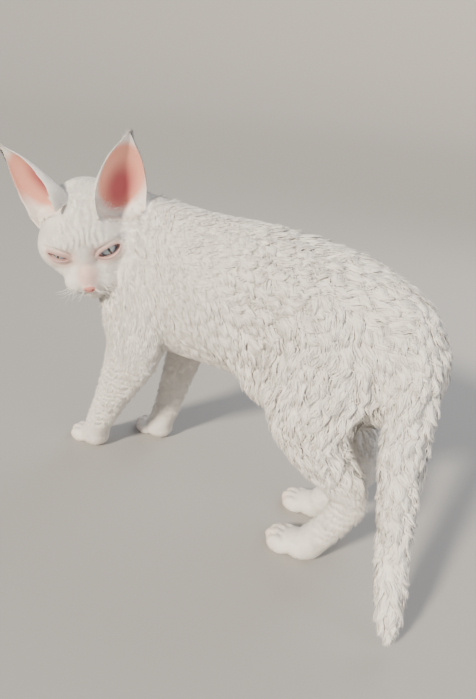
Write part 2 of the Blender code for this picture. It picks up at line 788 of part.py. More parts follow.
def add_cord(bm, points, radius, sides=6):
    """A thin tube along points, pointed at both ends."""
    rings = []
    last = len(points) - 1
    for i, point in enumerate(points):
        ahead = points[min(i + 1, last)] - points[max(i - 1, 0)]
        place = facing_frame(point, ahead)
        size = radius * MM * (0.35 if i in (0, last) else 1.0)
        turns = [2 * math.pi * k / sides for k in range(sides)]
        rings.append([bm.verts.new(place @ Vector((size * math.cos(a), size * math.sin(a), 0))) for a in turns])
    bridge_rings(bm, rings)


def cut_mouth(head, helpers):
    """The groove of the mouth and of the philtrum, and the nostrils."""
    lines = [PHILTRUM, MOUTH, [(-x, y, z) for x, y, z in MOUTH]]
    lines = [surface_points(head, smooth_path(line, 3 * len(line)), -0.15) for line in lines]
    for line in lines:
        bm = bmesh.new()
        add_cord(bm, line, GROOVE_RADIUS)
        cord = add_object("groove", mesh_from(bm, "groove"), helpers, helper=True)
        combine(head, cord)
        remove(cord)
    for s in (-1, 1):
        bm = bmesh.new()
        add_ball(bm, HEAD, (s * NOSTRIL[0], NOSTRIL[1], NOSTRIL[2]), NOSTRIL_RADII, 10)
        hole = add_object("nostril", mesh_from(bm, "nostril"), helpers, helper=True)
        combine(head, hole)
        remove(hole)


def make_head(helpers):
    head = thin_out(skin("head", HEAD_VOXEL, helpers, whole=False), HEAD_TRIANGLES)
    middle, normal, _ = NECK_CUT
    normal = Vector(normal).normalized()
    bisected(head, Vector(middle) + normal * GAP / 2, normal)
    return head


def make_eye(name, s, collection):
    bm = bmesh.new()
    add_ball(bm, eye_frame(s), (0, 0, 0), (EYEBALL_RADIUS,) * 3, 18)
    return add_object(name, mesh_from(bm, name), collection)


def ear_frame(side):
    """The ear's frame: +Z up the ear, +Y out of its cup, +X towards the cat's right."""
    base, direction, _, turn = EARS[side]
    up = Vector(direction).normalized()
    outwards = turn if side == "left" else -turn
    facing = Matrix.Rotation(outwards, 3, "Z") @ Vector((0, 1, 0))
    facing = (facing - facing.dot(up) * up).normalized()
    axes = Matrix((facing.cross(up), facing, up)).transposed().to_4x4()
    return HEAD @ Matrix.Translation(Vector(base)) @ axes


def ear_sheet(side, grow):
    """The ear's middle surface as a grid: a sheet wrapped round the ear's axis, open to the front."""
    frame = ear_frame(side)
    height = EARS[side][2]
    grid = []
    for share, half_width, depth, wrap in smooth_path(EAR_SECTIONS, EAR_ROWS):
        line = []
        for k in range(EAR_COLUMNS):
            a = math.radians(wrap) * (2 * k / (EAR_COLUMNS - 1) - 1)
            widest = math.sin(math.radians(min(wrap, 90)))
            x = (half_width + grow) * math.sin(a) / widest
            y = -(depth + grow) * (math.cos(a) - 0.35)
            line.append(frame @ Vector((x, y, share * height)))
        grid.append(line)
    return grid


def make_ear(side, collection):
    """A thin cup, closed all round: the sheet of the ear made thick."""
    bm = bmesh.new()
    grid = [[bm.verts.new(point) for point in line] for line in ear_sheet(side, 0.0)]
    for lower, upper in zip(grid, grid[1:]):
        for k in range(EAR_COLUMNS - 1):
            bm.faces.new((lower[k], lower[k + 1], upper[k + 1], upper[k]))
    obj = add_object(f"ear_{side}", mesh_from(bm, f"ear_{side}"), collection)
    thick = obj.modifiers.new("thickness", "SOLIDIFY")
    thick.thickness = EAR_THICKNESS * MM
    thick.offset = 0.0
    return settle(obj)


def cut_ear_cup(head, side, helpers):
    """The bottom of the ear's cup, hollowed into the head."""
    bm = bmesh.new()
    add_ball(bm, ear_frame(side), EAR_HOLLOW[0], EAR_HOLLOW[1], 20)
    hollow = add_object("hollow", mesh_from(bm, "hollow"), helpers, helper=True)
    combine(head, hollow)
    remove(hollow)


def trim_to_head(ear, head, helpers):
    """End the ear at the head's skin, a hair clear of it."""
    cutter = add_object("grown_head", head.data.copy(), helpers, helper=True)
    grow = cutter.modifiers.new("grow", "DISPLACE")
    grow.strength = GAP
    grow.mid_level = 0.0
    settle(cutter)
    combine(ear, cutter)
    remove(cutter)
    keep_largest(ear)


def finish(obj, material):
    obj.data.materials.clear()
    obj.data.materials.append(material)
    obj.hide_render = False
    obj.display_type = "TEXTURED"


def main():
    clear_scene()
    cat = bpy.data.collections.new("devon_rex_cat")
    helpers = bpy.data.collections.new("devon_rex_cat_cutters")
    bpy.context.scene.collection.children.link(cat)
    bpy.context.scene.collection.children.link(helpers)
    coat = make_material("coat", COAT)
    ear_skin = make_material("ear_skin", EAR_SKIN)
    eye_blue = make_material("eye_blue", EYE_BLUE)
    for name, mesh in part_body(helpers).items():
        finish(add_object(name, mesh, cat), coat)
    head = make_head(helpers)
    for side in EARS:
        ear = make_ear(side, cat)
        trim_to_head(ear, head, helpers)
        finish(ear, ear_skin)
    for side in EARS:
        cut_ear_cup(head, side, helpers)
    for side, s in (("left", -1), ("right", 1)):
        cut_eye(head, s, helpers)
        finish(make_eye(f"eye_{side}", s, cat), eye_blue)
    cut_mouth(head, helpers)
    keep_largest(head)
    helpers.objects.unlink(head)
    cat.objects.link(head)
    finish(head, coat)
    for obj in cat.objects:
        obj.data.transform(Matrix.Translation(-BOX_MIDDLE))


main()
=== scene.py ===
# %% [markdown]
# # A young devon rex cat, life size
# The cat stands with its head turned back over its left shoulder and its tail hanging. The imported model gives
# the true outline, out to the tips of the coat. This lesson dresses it: one skin for the whole animal, the
# eyes, and the coat itself, which is short and close on the head and the legs and grows into loose, wavy
# locks over the rump, the thighs and the tail.

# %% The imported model
import json
import math

import bmesh
import bpy
import numpy as np
from mathutils import Matrix, Vector
from mathutils.bvhtree import BVHTree
from mathutils.kdtree import KDTree

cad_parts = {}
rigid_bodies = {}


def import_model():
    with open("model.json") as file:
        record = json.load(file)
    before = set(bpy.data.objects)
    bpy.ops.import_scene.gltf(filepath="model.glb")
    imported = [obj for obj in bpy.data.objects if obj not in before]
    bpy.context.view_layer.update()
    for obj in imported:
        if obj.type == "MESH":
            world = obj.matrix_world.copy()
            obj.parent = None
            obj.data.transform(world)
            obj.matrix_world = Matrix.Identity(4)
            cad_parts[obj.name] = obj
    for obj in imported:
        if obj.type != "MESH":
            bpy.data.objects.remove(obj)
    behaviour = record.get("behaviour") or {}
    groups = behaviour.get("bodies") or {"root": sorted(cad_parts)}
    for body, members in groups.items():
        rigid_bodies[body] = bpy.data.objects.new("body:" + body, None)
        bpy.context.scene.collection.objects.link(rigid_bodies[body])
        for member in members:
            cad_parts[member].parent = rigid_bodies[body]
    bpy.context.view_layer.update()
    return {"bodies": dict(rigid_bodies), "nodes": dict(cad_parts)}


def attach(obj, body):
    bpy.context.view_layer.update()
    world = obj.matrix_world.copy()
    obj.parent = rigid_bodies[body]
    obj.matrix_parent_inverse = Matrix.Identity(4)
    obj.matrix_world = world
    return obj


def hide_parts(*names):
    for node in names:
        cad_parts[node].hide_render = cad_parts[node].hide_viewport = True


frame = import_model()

MM = 0.001
SEED = 5

# %% [markdown]
# ## The camera
# The photograph was taken from behind and above the cat's left hip, close by. The lines of its door frame
# give the angle of view, the tilt and the small roll, so the camera is set from those numbers and not by eye.

# %% The camera
PHOTO_HEIGHT = 699
FOCAL_LENGTH_PIXELS = 666.5
SENSOR_MM = 36.0
CAMERA_SPOT = Vector((0.39214, 0.28102, 0.345))
CAMERA_AZIMUTH = math.radians(125.0)
CAMERA_DROP = math.radians(22.7)
CAMERA_ROLL = math.radians(6.1)


def place_camera():
    level = Vector((-math.sin(CAMERA_AZIMUTH), math.cos(CAMERA_AZIMUTH), 0.0))
    ahead = level * math.cos(CAMERA_DROP) - Vector((0, 0, math.sin(CAMERA_DROP)))
    right = Vector((level.y, -level.x, 0.0))
    down = ahead.cross(right)
    cos, sin = math.cos(CAMERA_ROLL), math.sin(CAMERA_ROLL)
    columns = Matrix((right * cos - down * sin, -(right * sin + down * cos), -ahead)).transposed()
    camera = bpy.data.objects.new("camera", bpy.data.cameras.new("camera"))
    bpy.context.scene.collection.objects.link(camera)
    camera.matrix_world = Matrix.Translation(CAMERA_SPOT) @ columns.to_4x4()
    camera.data.sensor_width = SENSOR_MM
    camera.data.lens = SENSOR_MM * FOCAL_LENGTH_PIXELS / PHOTO_HEIGHT
    camera.data.clip_start = 0.01
    bpy.context.scene.camera = camera
    return camera


camera = place_camera()
print("camera", round(camera.data.lens, 2), "mm")

# %% [markdown]
# ## The sizes of the cat
# The body is a handful of tubes, such as the torso, the neck and the legs, and a few dozen balls, such as the
# cheeks and the toes. A scanned cat would give a mesh, but numbers like these can be changed and read. They
# are the same ones that the solids were made from, so the skin lies inside the solids everywhere.

# %% The tubes of the body: x, y, z, half-width across the cat and half-depth, from front to back or downwards
TORSO = (
    (0.012, -0.104, 0.162, 0.008, 0.010),
    (0.011, -0.098, 0.163, 0.025, 0.032),
    (0.008, -0.074, 0.170, 0.036, 0.053),
    (0.002, -0.042, 0.176, 0.040, 0.062),
    (0.000, 0.000, 0.178, 0.043, 0.062),
    (0.000, 0.040, 0.180, 0.044, 0.062),
    (0.000, 0.080, 0.179, 0.045, 0.061),
    (0.000, 0.110, 0.177, 0.044, 0.060),
    (0.000, 0.134, 0.172, 0.041, 0.056),
    (0.000, 0.156, 0.167, 0.034, 0.048),
    (0.000, 0.171, 0.163, 0.023, 0.033),
    (0.000, 0.178, 0.160, 0.008, 0.010),
)
NECK = (
    (0.002, -0.030, 0.190, 0.032, 0.042),
    (0.006, -0.062, 0.200, 0.033, 0.043),
    (0.014, -0.093, 0.208, 0.031, 0.037),
    (0.027, -0.114, 0.209, 0.028, 0.031),
    (0.040, -0.113, 0.208, 0.024, 0.026),
)
TAIL = (
    (0.000, 0.130, 0.206, 0.012, 0.014),
    (0.001, 0.152, 0.204, 0.019, 0.019),
    (0.008, 0.170, 0.187, 0.0195, 0.019),
    (0.018, 0.181, 0.156, 0.0175, 0.0175),
    (0.032, 0.189, 0.122, 0.0155, 0.0155),
    (0.045, 0.197, 0.090, 0.0125, 0.0125),
    (0.056, 0.205, 0.060, 0.0108, 0.0108),
    (0.064, 0.212, 0.036, 0.0095, 0.0095),
    (0.068, 0.216, 0.020, 0.0068, 0.0068),
    (0.0705, 0.219, 0.009, 0.0012, 0.0012),
)
FRONT_LEGS = {
    "left": (
        (0.024, -0.062, 0.176, 0.014, 0.026),
        (0.031, -0.064, 0.150, 0.0190, 0.032),
        (0.035, -0.058, 0.122, 0.0185, 0.029),
        (0.035, -0.068, 0.095, 0.0155, 0.0225),
        (0.032, -0.086, 0.062, 0.0130, 0.0165),
        (0.030, -0.101, 0.034, 0.0117, 0.0133),
        (0.029, -0.109, 0.016, 0.0114, 0.0122),
    ),
    "right": (
        (-0.018, -0.052, 0.176, 0.014, 0.026),
        (-0.026, -0.054, 0.150, 0.0185, 0.030),
        (-0.031, -0.050, 0.122, 0.0170, 0.024),
        (-0.030, -0.056, 0.095, 0.0145, 0.0185),
        (-0.029, -0.065, 0.062, 0.0128, 0.0152),
        (-0.028, -0.072, 0.034, 0.0118, 0.0132),
        (-0.027, -0.078, 0.016, 0.0112, 0.0122),
    ),
}
HIND_LEGS = {
    "left": (
        (0.024, 0.124, 0.188, 0.018, 0.034),
        (0.031, 0.118, 0.158, 0.021, 0.042),
        (0.034, 0.116, 0.128, 0.0205, 0.036),
        (0.033, 0.128, 0.102, 0.0165, 0.026),
        (0.030, 0.145, 0.084, 0.0125, 0.018),
        (0.028, 0.156, 0.068, 0.0114, 0.0142),
        (0.027, 0.147, 0.044, 0.0110, 0.0120),
        (0.026, 0.132, 0.019, 0.0117, 0.0122),
    ),
    "right": (
        (-0.024, 0.114, 0.188, 0.018, 0.034),
        (-0.031, 0.106, 0.158, 0.021, 0.041),
        (-0.034, 0.102, 0.128, 0.0205, 0.035),
        (-0.033, 0.112, 0.102, 0.0165, 0.026),
        (-0.030, 0.128, 0.082, 0.0125, 0.018),
        (-0.028, 0.140, 0.066, 0.0114, 0.0142),
        (-0.027, 0.130, 0.044, 0.0110, 0.0120),
        (-0.026, 0.112, 0.019, 0.0117, 0.0122),
    ),
}
BODY_TUBES = (TORSO, NECK, TAIL, *FRONT_LEGS.values(), *HIND_LEGS.values())
print(len(BODY_TUBES), "tubes")

# %% The feet and the folds of the flanks
PAWS = {
    "front_left": (0.0285, -0.118, 1.10),
    "front_right": (-0.0270, -0.086, 1.08),
    "hind_left": (0.0260, 0.116, 1.22),
    "hind_right": (-0.0265, 0.095, 1.15),
}
PAW_MASSES = (
    ((0, 5, 8.0), (10.6, 13.5, 9.4)),
    ((-8.0, -6.5, 5.2), (4.6, 8.5, 6.2)),
    ((-2.9, -10.5, 5.4), (4.6, 9.0, 6.6)),
    ((2.9, -10.5, 5.4), (4.6, 9.0, 6.6)),
    ((8.0, -6.5, 5.2), (4.6, 8.5, 6.2)),
)
FLANK_FOLDS = {
    "left": ((0.024, 0.082, 0.134), (0.015, 0.038, 0.022)),
    "right": ((-0.024, 0.072, 0.134), (0.015, 0.038, 0.022)),
}
SOLE_PRESS = 0.6 * MM
# The finished pieces are moved by this, so that the origin is on the floor under the middle of the cat's box
BOX_MIDDLE = Vector((0.0193, 0.0324, 0.0))
print(len(PAWS), "feet of", len(PAW_MASSES), "masses")

# %% [markdown]
# ## The head's own frame
# A head is easiest to shape looking straight ahead, so its parts are written in a frame of their own: the
# origin lies midway between the eyes, +X points to the cat's right, +Y out of the face and +Z up, all in
# millimetres. One matrix then turns the whole head back over the shoulder, down and a little over.

# %% The head's frame and masses
EYES_MID = Vector((0.0649, -0.0887, 0.2001))
HEAD_TURN = math.radians(136.5)
HEAD_PITCH = math.radians(-31.0)
HEAD_ROLL = math.radians(13.5)
EYEBALL = (16.9, -7.7, -3.0)
EYEBALL_RADIUS = 10.2
LID_THICKNESS = 1.7
HEAD_MIDDLE = (
    ((0, -36, 5.5), (34, 36, 26.5)),
    ((0, -11, 9), (24, 15, 12)),
    ((0, -14, -22), (20, 25, 14)),
    ((0, 2.5, -22), (15, 14, 11)),
    ((0, 8.5, -35), (9.5, 8.5, 7.4)),
    ((0, 0.5, -5), (9, 8, 13)),
    ((0, 10, -16), (6.5, 7.8, 7.5)),
    ((0, 16.8, -22.4), (5.2, 5.0, 4.6)),
)
HEAD_PAIRED = (
    ((23.5, -20, -8.0), (16.5, 21, 18.5)),
    ((15.5, -6, -17), (12, 12, 10)),
    ((10.8, 7.3, -26.4), (10.4, 9.4, 8.3)),
    ((15, -8.5, 7.5), (13, 10, 5.5)),
    ((22, -38, 9), (14, 15, 13)),
)
SIDES = {"left": -1, "right": 1}


def head_frame():
    turn = Matrix.Rotation(math.pi + HEAD_TURN, 4, "Z")
    pitch = Matrix.Rotation(HEAD_PITCH, 4, "X")
    roll = Matrix.Rotation(HEAD_ROLL, 4, "Y")
    return Matrix.Translation(EYES_MID) @ turn @ pitch @ roll @ Matrix.Scale(MM, 4)


def head_masses():
    lid = EYEBALL_RADIUS + LID_THICKNESS
    paired = (*HEAD_PAIRED, (EYEBALL, (lid, lid, lid)))
    return [*HEAD_MIDDLE, *(((s * x, y, z), radii) for (x, y, z), radii in paired for s in (-1, 1))]


HEAD = head_frame()
WORLD_MM = Matrix.Scale(MM, 4)
print("nose at", [round(v, 3) for v in HEAD @ Vector((0, 20, -19))])

# %% [markdown]
# ## Where the skin is
# Tubes and balls that are simply joined leave hard creases. Here each mass is a field instead: a number that
# says how far a point lies outside it. A soft minimum of all these numbers is the whole animal, with its
# creases filled as flesh fills them. Any mesh can then be moved point by point until it lies on that form.

# %% The fields
SKIN_BLEND = 3.5
HEAD_BLEND = 2.4
PAW_BLEND = 0.8
JOIN_BLEND = 2.0
FAR = 20.0


def smooth_path(points, count):
    """Rows along a Catmull-Rom curve through the given rows."""
    rows = np.array(points, float)
    last = len(rows) - 1
    ends = np.vstack([2 * rows[0] - rows[1], rows, 2 * rows[-1] - rows[-2]])
    out = []
    for t in np.linspace(0, last, count):
        i = min(int(t), last - 1)
        u = t - i
        a, b, c, d = ends[i : i + 4]
        bend = (2 * a - 5 * b + 4 * c - d) * u**2 + (3 * b - a - 3 * c + d) * u**3
        out.append(0.5 * (2 * b + (c - a) * u + bend))
    return np.array(out)


def ball_depth(points, middle, radii):
    """Roughly how far each point lies outside an ellipsoid, all in millimetres."""
    away = (points - np.array(middle, float)) / np.array(radii, float)
    share = np.linalg.norm(away, axis=1) + 1e-9
    steep = np.linalg.norm(away / np.array(radii, float), axis=1) + 1e-9
    return share * (share - 1.0) / steep


def segment_depth(points, start, step, sizes):
    """How far points lie outside one straight stretch of a tube whose half-sizes run evenly."""
    length = np.linalg.norm(step)
    ahead = step / length
    across = np.array((1.0, 0, 0)) - ahead[0] * ahead
    across /= np.linalg.norm(across)
    offset = points - start
    along = np.clip(offset @ ahead, 0, length)
    offset = offset - along[:, None] * ahead
    share = (along / length)[:, None]
    wide, tall = (sizes[0] * (1 - share) + sizes[1] * share).T
    local = np.stack([offset @ across, offset @ np.cross(ahead, across), offset @ ahead], axis=1)
    radii = np.stack([wide, tall, np.minimum(wide, tall)], axis=1)
    away = local / radii
    size = np.linalg.norm(away, axis=1) + 1e-9
    steep = np.linalg.norm(away / radii, axis=1) + 1e-9
    return size * (size - 1.0) / steep


def tube_depth(points, stations):
    """How far each point lies outside a tube, in millimetres, and the tube's direction there."""
    rows = smooth_path(stations, 2 * len(stations)) / MM
    margin = rows[:, 3:].max() + FAR
    close = (points > rows[:, :3].min(axis=0) - margin) & (points < rows[:, :3].max(axis=0) + margin)
    close = close.all(axis=1)
    nearest = np.full(len(points), 1e3)
    ahead = np.zeros((len(points), 3))
    spots = points[close]
    least = nearest[close]
    heading = ahead[close]
    for i in range(len(rows) - 1):
        step = rows[i + 1, :3] - rows[i, :3]
        stretch = segment_depth(spots, rows[i, :3], step, rows[i : i + 2, 3:])
        nearer = stretch < least
        least[nearer] = stretch[nearer]
        heading[nearer] = step / np.linalg.norm(step)
    nearest[close] = least
    ahead[close] = heading
    return nearest, ahead


def blended(depths, reach):
    """A soft union: where masses meet, the skin runs over the crease."""
    depths = np.array(depths)
    least = depths.min(axis=0)
    return least - reach * np.log(np.exp((least - depths) / reach).sum(axis=0))


def in_frame(points, place):
    turned = np.array(place.inverted())
    return points @ turned[:3, :3].T + turned[:3, 3]


def paw_frame(x, y, size):
    return Matrix.Translation((x, y, 0.0)) @ Matrix.Scale(MM * size, 4)


def cat_depth(points):
    """Roughly how far each point, in millimetres, lies outside the animal with its coat."""
    masses = [tube_depth(points, stations)[0] for stations in BODY_TUBES]
    masses += [ball_depth(points, Vector(m) / MM, Vector(r) / MM) for m, r in FLANK_FOLDS.values()]
    groups = [blended(masses, SKIN_BLEND)]
    local = in_frame(points * MM, HEAD)
    groups.append(blended([ball_depth(local, *mass) for mass in head_masses()], HEAD_BLEND))
    for place in PAWS.values():
        local = in_frame(points * MM, paw_frame(*place))
        groups.append(blended([ball_depth(local, *mass) for mass in PAW_MASSES], PAW_BLEND))
    return blended(groups, JOIN_BLEND)


print("a point before the breast lies", cat_depth(np.array([[10.0, -130.0, 160.0]])).round(1), "mm outside")

# %% [markdown]
# ## How long the coat is where
# A devon rex carries hardly any guard hair: a close, suede-like coat on the head, the ears and the feet,
# short waves on the neck, the shoulders and the legs, and its longest hair, a centimetre or two of loose
# waves, over the rump, the thighs and the tail. One table says so for every place on the cat. The skin lies
# that deep under the outline, and the tufts read their length, width and spacing from the same table.

# %% The coat's table: depth over the skin, length, width and spacing of a tuft, in millimetres
COATS = {
    "body": (1.8, 9.0, 0.85, 1.12),
    "neck": (1.4, 6.0, 0.70, 0.86),
    "leg": (1.2, 4.6, 0.65, 0.84),
    "paw": (0.6, 2.5, 0.50, 0.66),
    "rear": (2.7, 18.0, 1.00, 1.37),
    "tail": (2.4, 15.0, 1.00, 1.30),
    "head": (0.9, 3.4, 0.55, 0.675),
    "face": (0.6, 2.0, 0.42, 0.54),
}


def ramp(values, start, end):
    """Nought before the start, one past the end, and smooth between."""
    share = np.clip((values - start) / (end - start), 0, 1)
    return share * share * (3 - 2 * share)


def coat_at(points):
    """Rows of the coat's table, blended for each point of the cat, in millimetres."""
    _, y, z = points.T
    local = in_frame(points * MM, HEAD)
    from_head = np.linalg.norm((local - (0, -20, -3)) / (37, 46, 37), axis=1)
    from_face = np.linalg.norm((local - (0, 4, -10)) / (25, 18, 24), axis=1)
    tip = ramp(z, 38, 12)
    steps = (
        ("neck", ramp(y, -25, -65)),
        ("leg", ramp(z, 128, 100)),
        ("paw", ramp(z, 32, 18)),
        ("rear", ramp(y, 10, 80) * ramp(z, 66, 108)),
        ("tail", ramp(y, 172, 190)),
        ("head", ramp(from_head, 1.25, 1.0)),
        ("face", ramp(from_face, 1.3, 0.8)),
    )
    out = np.tile(COATS["body"], (len(points), 1))
    for name, share in steps:
        out += (np.array(COATS[name]) - out) * share[:, None]
    out[:, 0] *= 1 - 0.75 * tip * ramp(y, 172, 190)
    return out


print("coat on the rump", coat_at(np.array([[0.0, 120.0, 230.0]]))[0].round(1))

# %% [markdown]
# ## The skin
# The skin could be a subdivision cage drawn by hand, but the fields already hold the form. So the raw tubes
# and balls are fused by a voxel remesh, softened, and then seated on the fields, sunk by the depth of the
# coat. The head is subdivided once more, as the lids, the nose and the ripples of its coat are small.

# %% Small tools for meshes
NIGHT = bpy.data.collections.new("cutters")
bpy.context.scene.collection.children.link(NIGHT)
NIGHT.hide_render = True


def add_object(name, mesh, collection=None):
    obj = bpy.data.objects.new(name, mesh)
    (collection or bpy.context.scene.collection).objects.link(obj)
    return obj


def mesh_from(bm, name):
    bmesh.ops.recalc_face_normals(bm, faces=bm.faces)
    mesh = bpy.data.meshes.new(name)
    bm.to_mesh(mesh)
    bm.free()
    return mesh


def settle(obj):
    """Work the object's modifiers into its mesh."""
    bpy.context.view_layer.update()
    graph = bpy.context.evaluated_depsgraph_get()
    mesh = bpy.data.meshes.new_from_object(obj.evaluated_get(graph))
    obj.modifiers.clear()
    obj.data = mesh
    return obj


def combine(obj, other, operation="DIFFERENCE"):
    """One Boolean step, worked in at once; the other piece is used up."""
    step = obj.modifiers.new("combine", "BOOLEAN")
    step.operation = operation
    step.solver = "MANIFOLD"
    step.object = other
    settle(obj)
    bpy.data.objects.remove(other)
    return obj


def soften(obj, rounds):
    step = obj.modifiers.new("soften", "SMOOTH")
    step.iterations = rounds
    step.factor = 0.5
    return settle(obj)


def one_skin(obj, voxel):
    step = obj.modifiers.new("one_skin", "REMESH")
    step.mode = "VOXEL"
    step.voxel_size = voxel
    return settle(obj)


def read_points(mesh, what="co"):
    values = np.empty(len(mesh.vertices) * 3)
    mesh.vertices.foreach_get(what, values)
    return values.reshape(-1, 3)


def write_points(mesh, points):
    mesh.vertices.foreach_set("co", points.ravel())
    mesh.update()


# %% Raw tubes and balls
TUBE_SAMPLES = 40
TUBE_SIDES = 36


def bridge_rings(bm, rings):
    """Skin a row of closed rings and cap both ends."""
    sides = len(rings[0])
    for lower, upper in zip(rings, rings[1:]):
        for k in range(sides):
            n = (k + 1) % sides
            bm.faces.new((lower[k], lower[n], upper[n], upper[k]))
    bm.faces.new(list(reversed(rings[0])))
    bm.faces.new(rings[-1])


def add_tube(bm, stations):
    rows = smooth_path(stations, TUBE_SAMPLES)
    middles = [Vector(row[:3]) for row in rows]
    rings = []
    for i, row in enumerate(rows):
        ahead = (middles[min(i + 1, TUBE_SAMPLES - 1)] - middles[max(i - 1, 0)]).normalized()
        sideways = Vector((1, 0, 0))
        across = (sideways - sideways.dot(ahead) * ahead).normalized()
        deep = ahead.cross(across)
        ring = []
        for k in range(TUBE_SIDES):
            a = 2 * math.pi * k / TUBE_SIDES
            ring.append(bm.verts.new(middles[i] + across * row[3] * math.cos(a) + deep * row[4] * math.sin(a)))
        rings.append(ring)
    bridge_rings(bm, rings)


def add_ball(bm, place, middle, radii, around=32):
    shape = place @ Matrix.Translation(Vector(middle)) @ Matrix.Diagonal((*radii, 1.0))
    bmesh.ops.create_uvsphere(bm, u_segments=around, v_segments=around // 2, radius=1.0, matrix=shape)


def raw_cat():
    bm = bmesh.new()
    for stations in BODY_TUBES:
        add_tube(bm, stations)
    for middle, radii in FLANK_FOLDS.values():
        add_ball(bm, WORLD_MM, Vector(middle) / MM, [r / MM for r in radii])
    for place in PAWS.values():
        for middle, radii in PAW_MASSES:
            add_ball(bm, paw_frame(*place), middle, radii)
    for middle, radii in head_masses():
        add_ball(bm, HEAD, middle, radii)
    return add_object("skin", mesh_from(bm, "skin"))


skin = raw_cat()
print("raw masses", len(skin.data.vertices), "points")

# %% [markdown]
# ## Folds and ripples
# The coat of this breed lies in small waves that show as ridges even where it is short: upright crinkles on
# the forehead, soft upright folds where the neck turns, and rings down the legs. They could be bump alone, but
# they break the outline, so the skin itself is lifted and sunk by a few tenths of a millimetre.

# %% Where the skin is lifted
def wander(points, scale, shift):
    """A smooth, uneven number between about -1 and 1 for each point."""
    x, y, z = (points * scale).T
    first = np.sin(1.7 * x + 2.3 * np.sin(0.9 * y + shift) + shift)
    second = np.sin(2.1 * y + 1.9 * np.sin(1.1 * z - shift) + 2 * shift)
    return (first + second + np.sin(1.9 * z + 2.0 * np.sin(1.2 * x + shift))) / 3


NOSE = (0, 21.3, -23.0)
NOSE_RADII = (5.1, 3.9, 3.6)


def folds(points):
    """How far the skin is lifted at each point, in millimetres."""
    x, y, z = points.T
    local = in_frame(points * MM, HEAD)
    hx, hy, hz = local.T
    off_head = ramp(np.linalg.norm((local - (0, -18, -6)) / (36, 46, 38), axis=1), 1.0, 1.3)
    uneven = wander(points, 0.10, 0.7)
    brow = ramp(hz, 5, 13) * ramp(hy, -50, -30) * ramp(np.abs(hx), 27, 14)
    crinkle = 0.52 * np.sin(2 * np.pi * hx / 4.9 + 2.6 * uneven + 1.2 * np.sin(hz * 0.45 + hx * 0.2)) * brow
    neck = ramp(y, -22, -48) * ramp(y, -118, -100) * ramp(z, 128, 150)
    turn = 1.05 * np.sin(2 * np.pi * (y + 0.30 * (z - 190)) / 10.5 + 3.0 * uneven) * neck
    breast = ramp(z, 200, 170) * ramp(z, 118, 138) * ramp(y, -30, -70)
    curls = 0.55 * wander(points, 0.42, 1.9) * breast
    legs = ramp(z, 122, 100) * ramp(z, 20, 34)
    rings = 0.42 * np.sin(2 * np.pi * z / 6.4 + 2.5 * wander(points, 0.16, 2.0)) * legs
    body = ramp(y, -50, -10) * ramp(z, 100, 125)
    waves = 0.70 * wander(points, 0.26, 3.1) * body
    return crinkle + (turn + curls + rings + waves) * off_head


def lid_folds(points):
    """The crease over each upper lid and the soft pouch under each eye, in millimetres."""
    out = np.zeros(len(points))
    for s in SIDES.values():
        x, y, z = in_frame(points * MM, eye_frame(s)).T
        front = ramp(y, 2, 6)
        over = np.hypot(x / 12.6, (z + 0.5) / 8.4)
        out -= 0.75 * np.exp(-(((over - 1.0) * 9.0) ** 2)) * ramp(z, 0.5, 3.0) * front
        under = np.hypot(x / 12.0, (z - 0.5) / 7.2)
        out -= 0.40 * np.exp(-(((under - 1.0) * 8.0) ** 2)) * ramp(z, -0.5, -3.0) * front
    return out


def nose_leather(points):
    """Nought round the bare leather of the nose and one on it."""
    local = in_frame(points * MM, HEAD)
    return ramp(np.linalg.norm((local - NOSE) / NOSE_RADII, axis=1), 1.08, 0.92)


# %% The eyes' frames
GAZE_TURN = math.radians(22.0)
GAZE_LIFT = math.radians(12.0)
EYE_SLANT = math.radians(12.0)
# On the left and the right: half-width of the opening between the lids, and how far it reaches up and down
EYE_OPENINGS = {-1: (10.3, 4.0, 4.6), 1: (8.6, 2.7, 3.0)}


def eye_frame(s):
    """Origin at the ball's middle, +Y along the gaze, +X towards the cat's right."""
    middle = Matrix.Translation((s * EYEBALL[0], EYEBALL[1], EYEBALL[2]))
    turn = Matrix.Rotation(-s * GAZE_TURN, 4, "Z") @ Matrix.Rotation(GAZE_LIFT, 4, "X")
    slant = Matrix.Rotation(-s * EYE_SLANT, 4, "Y")
    return HEAD @ middle @ turn @ slant


print("left eye at", [round(v, 4) for v in (eye_frame(-1) @ Vector((0, 0, 0)))])

# %% The skin, seated on the form
FIRST_VOXEL = 2.4 * MM
SKIN_VOXEL = 1.7 * MM
HEAD_ZONE = 1.12


def skin_sunk(points):
    """How far points lie outside the skin: the form less the coat, with the folds on it."""
    sunk = coat_at(points)[:, 0]
    local = in_frame(points * MM, HEAD)
    for s in SIDES.values():
        near_eye = np.linalg.norm(local - (s * EYEBALL[0], EYEBALL[1], EYEBALL[2]), axis=1)
        sunk *= ramp(near_eye, 11, 17) * 0.8 + 0.2
    return cat_depth(points) + sunk - folds(points) - lid_folds(points) - 0.4 * nose_leather(points)


def seat(obj, rounds):
    """Move the points along their normals until they lie on the sunk form."""
    mesh = obj.data
    for _ in range(rounds):
        points = read_points(mesh)
        step = np.clip(skin_sunk(points / MM), -4, 4) * MM * 0.8
        write_points(mesh, points - read_points(mesh, "normal") * step[:, None])


def in_head(points):
    local = in_frame(points, HEAD)
    return np.linalg.norm((local - (0, -12, -4)) / (36, 40, 36), axis=1) < HEAD_ZONE


def refine_head(obj):
    """Subdivide the faces of the head once, within the same skin."""
    bm = bmesh.new()
    bm.from_mesh(obj.data)
    inside = in_head(read_points(obj.data))
    bm.verts.index_update()
    edges = [e for e in bm.edges if inside[e.verts[0].index] and inside[e.verts[1].index]]
    bmesh.ops.subdivide_edges(bm, edges=edges, cuts=1, use_grid_fill=True)
    obj.data = mesh_from(bm, "skin")


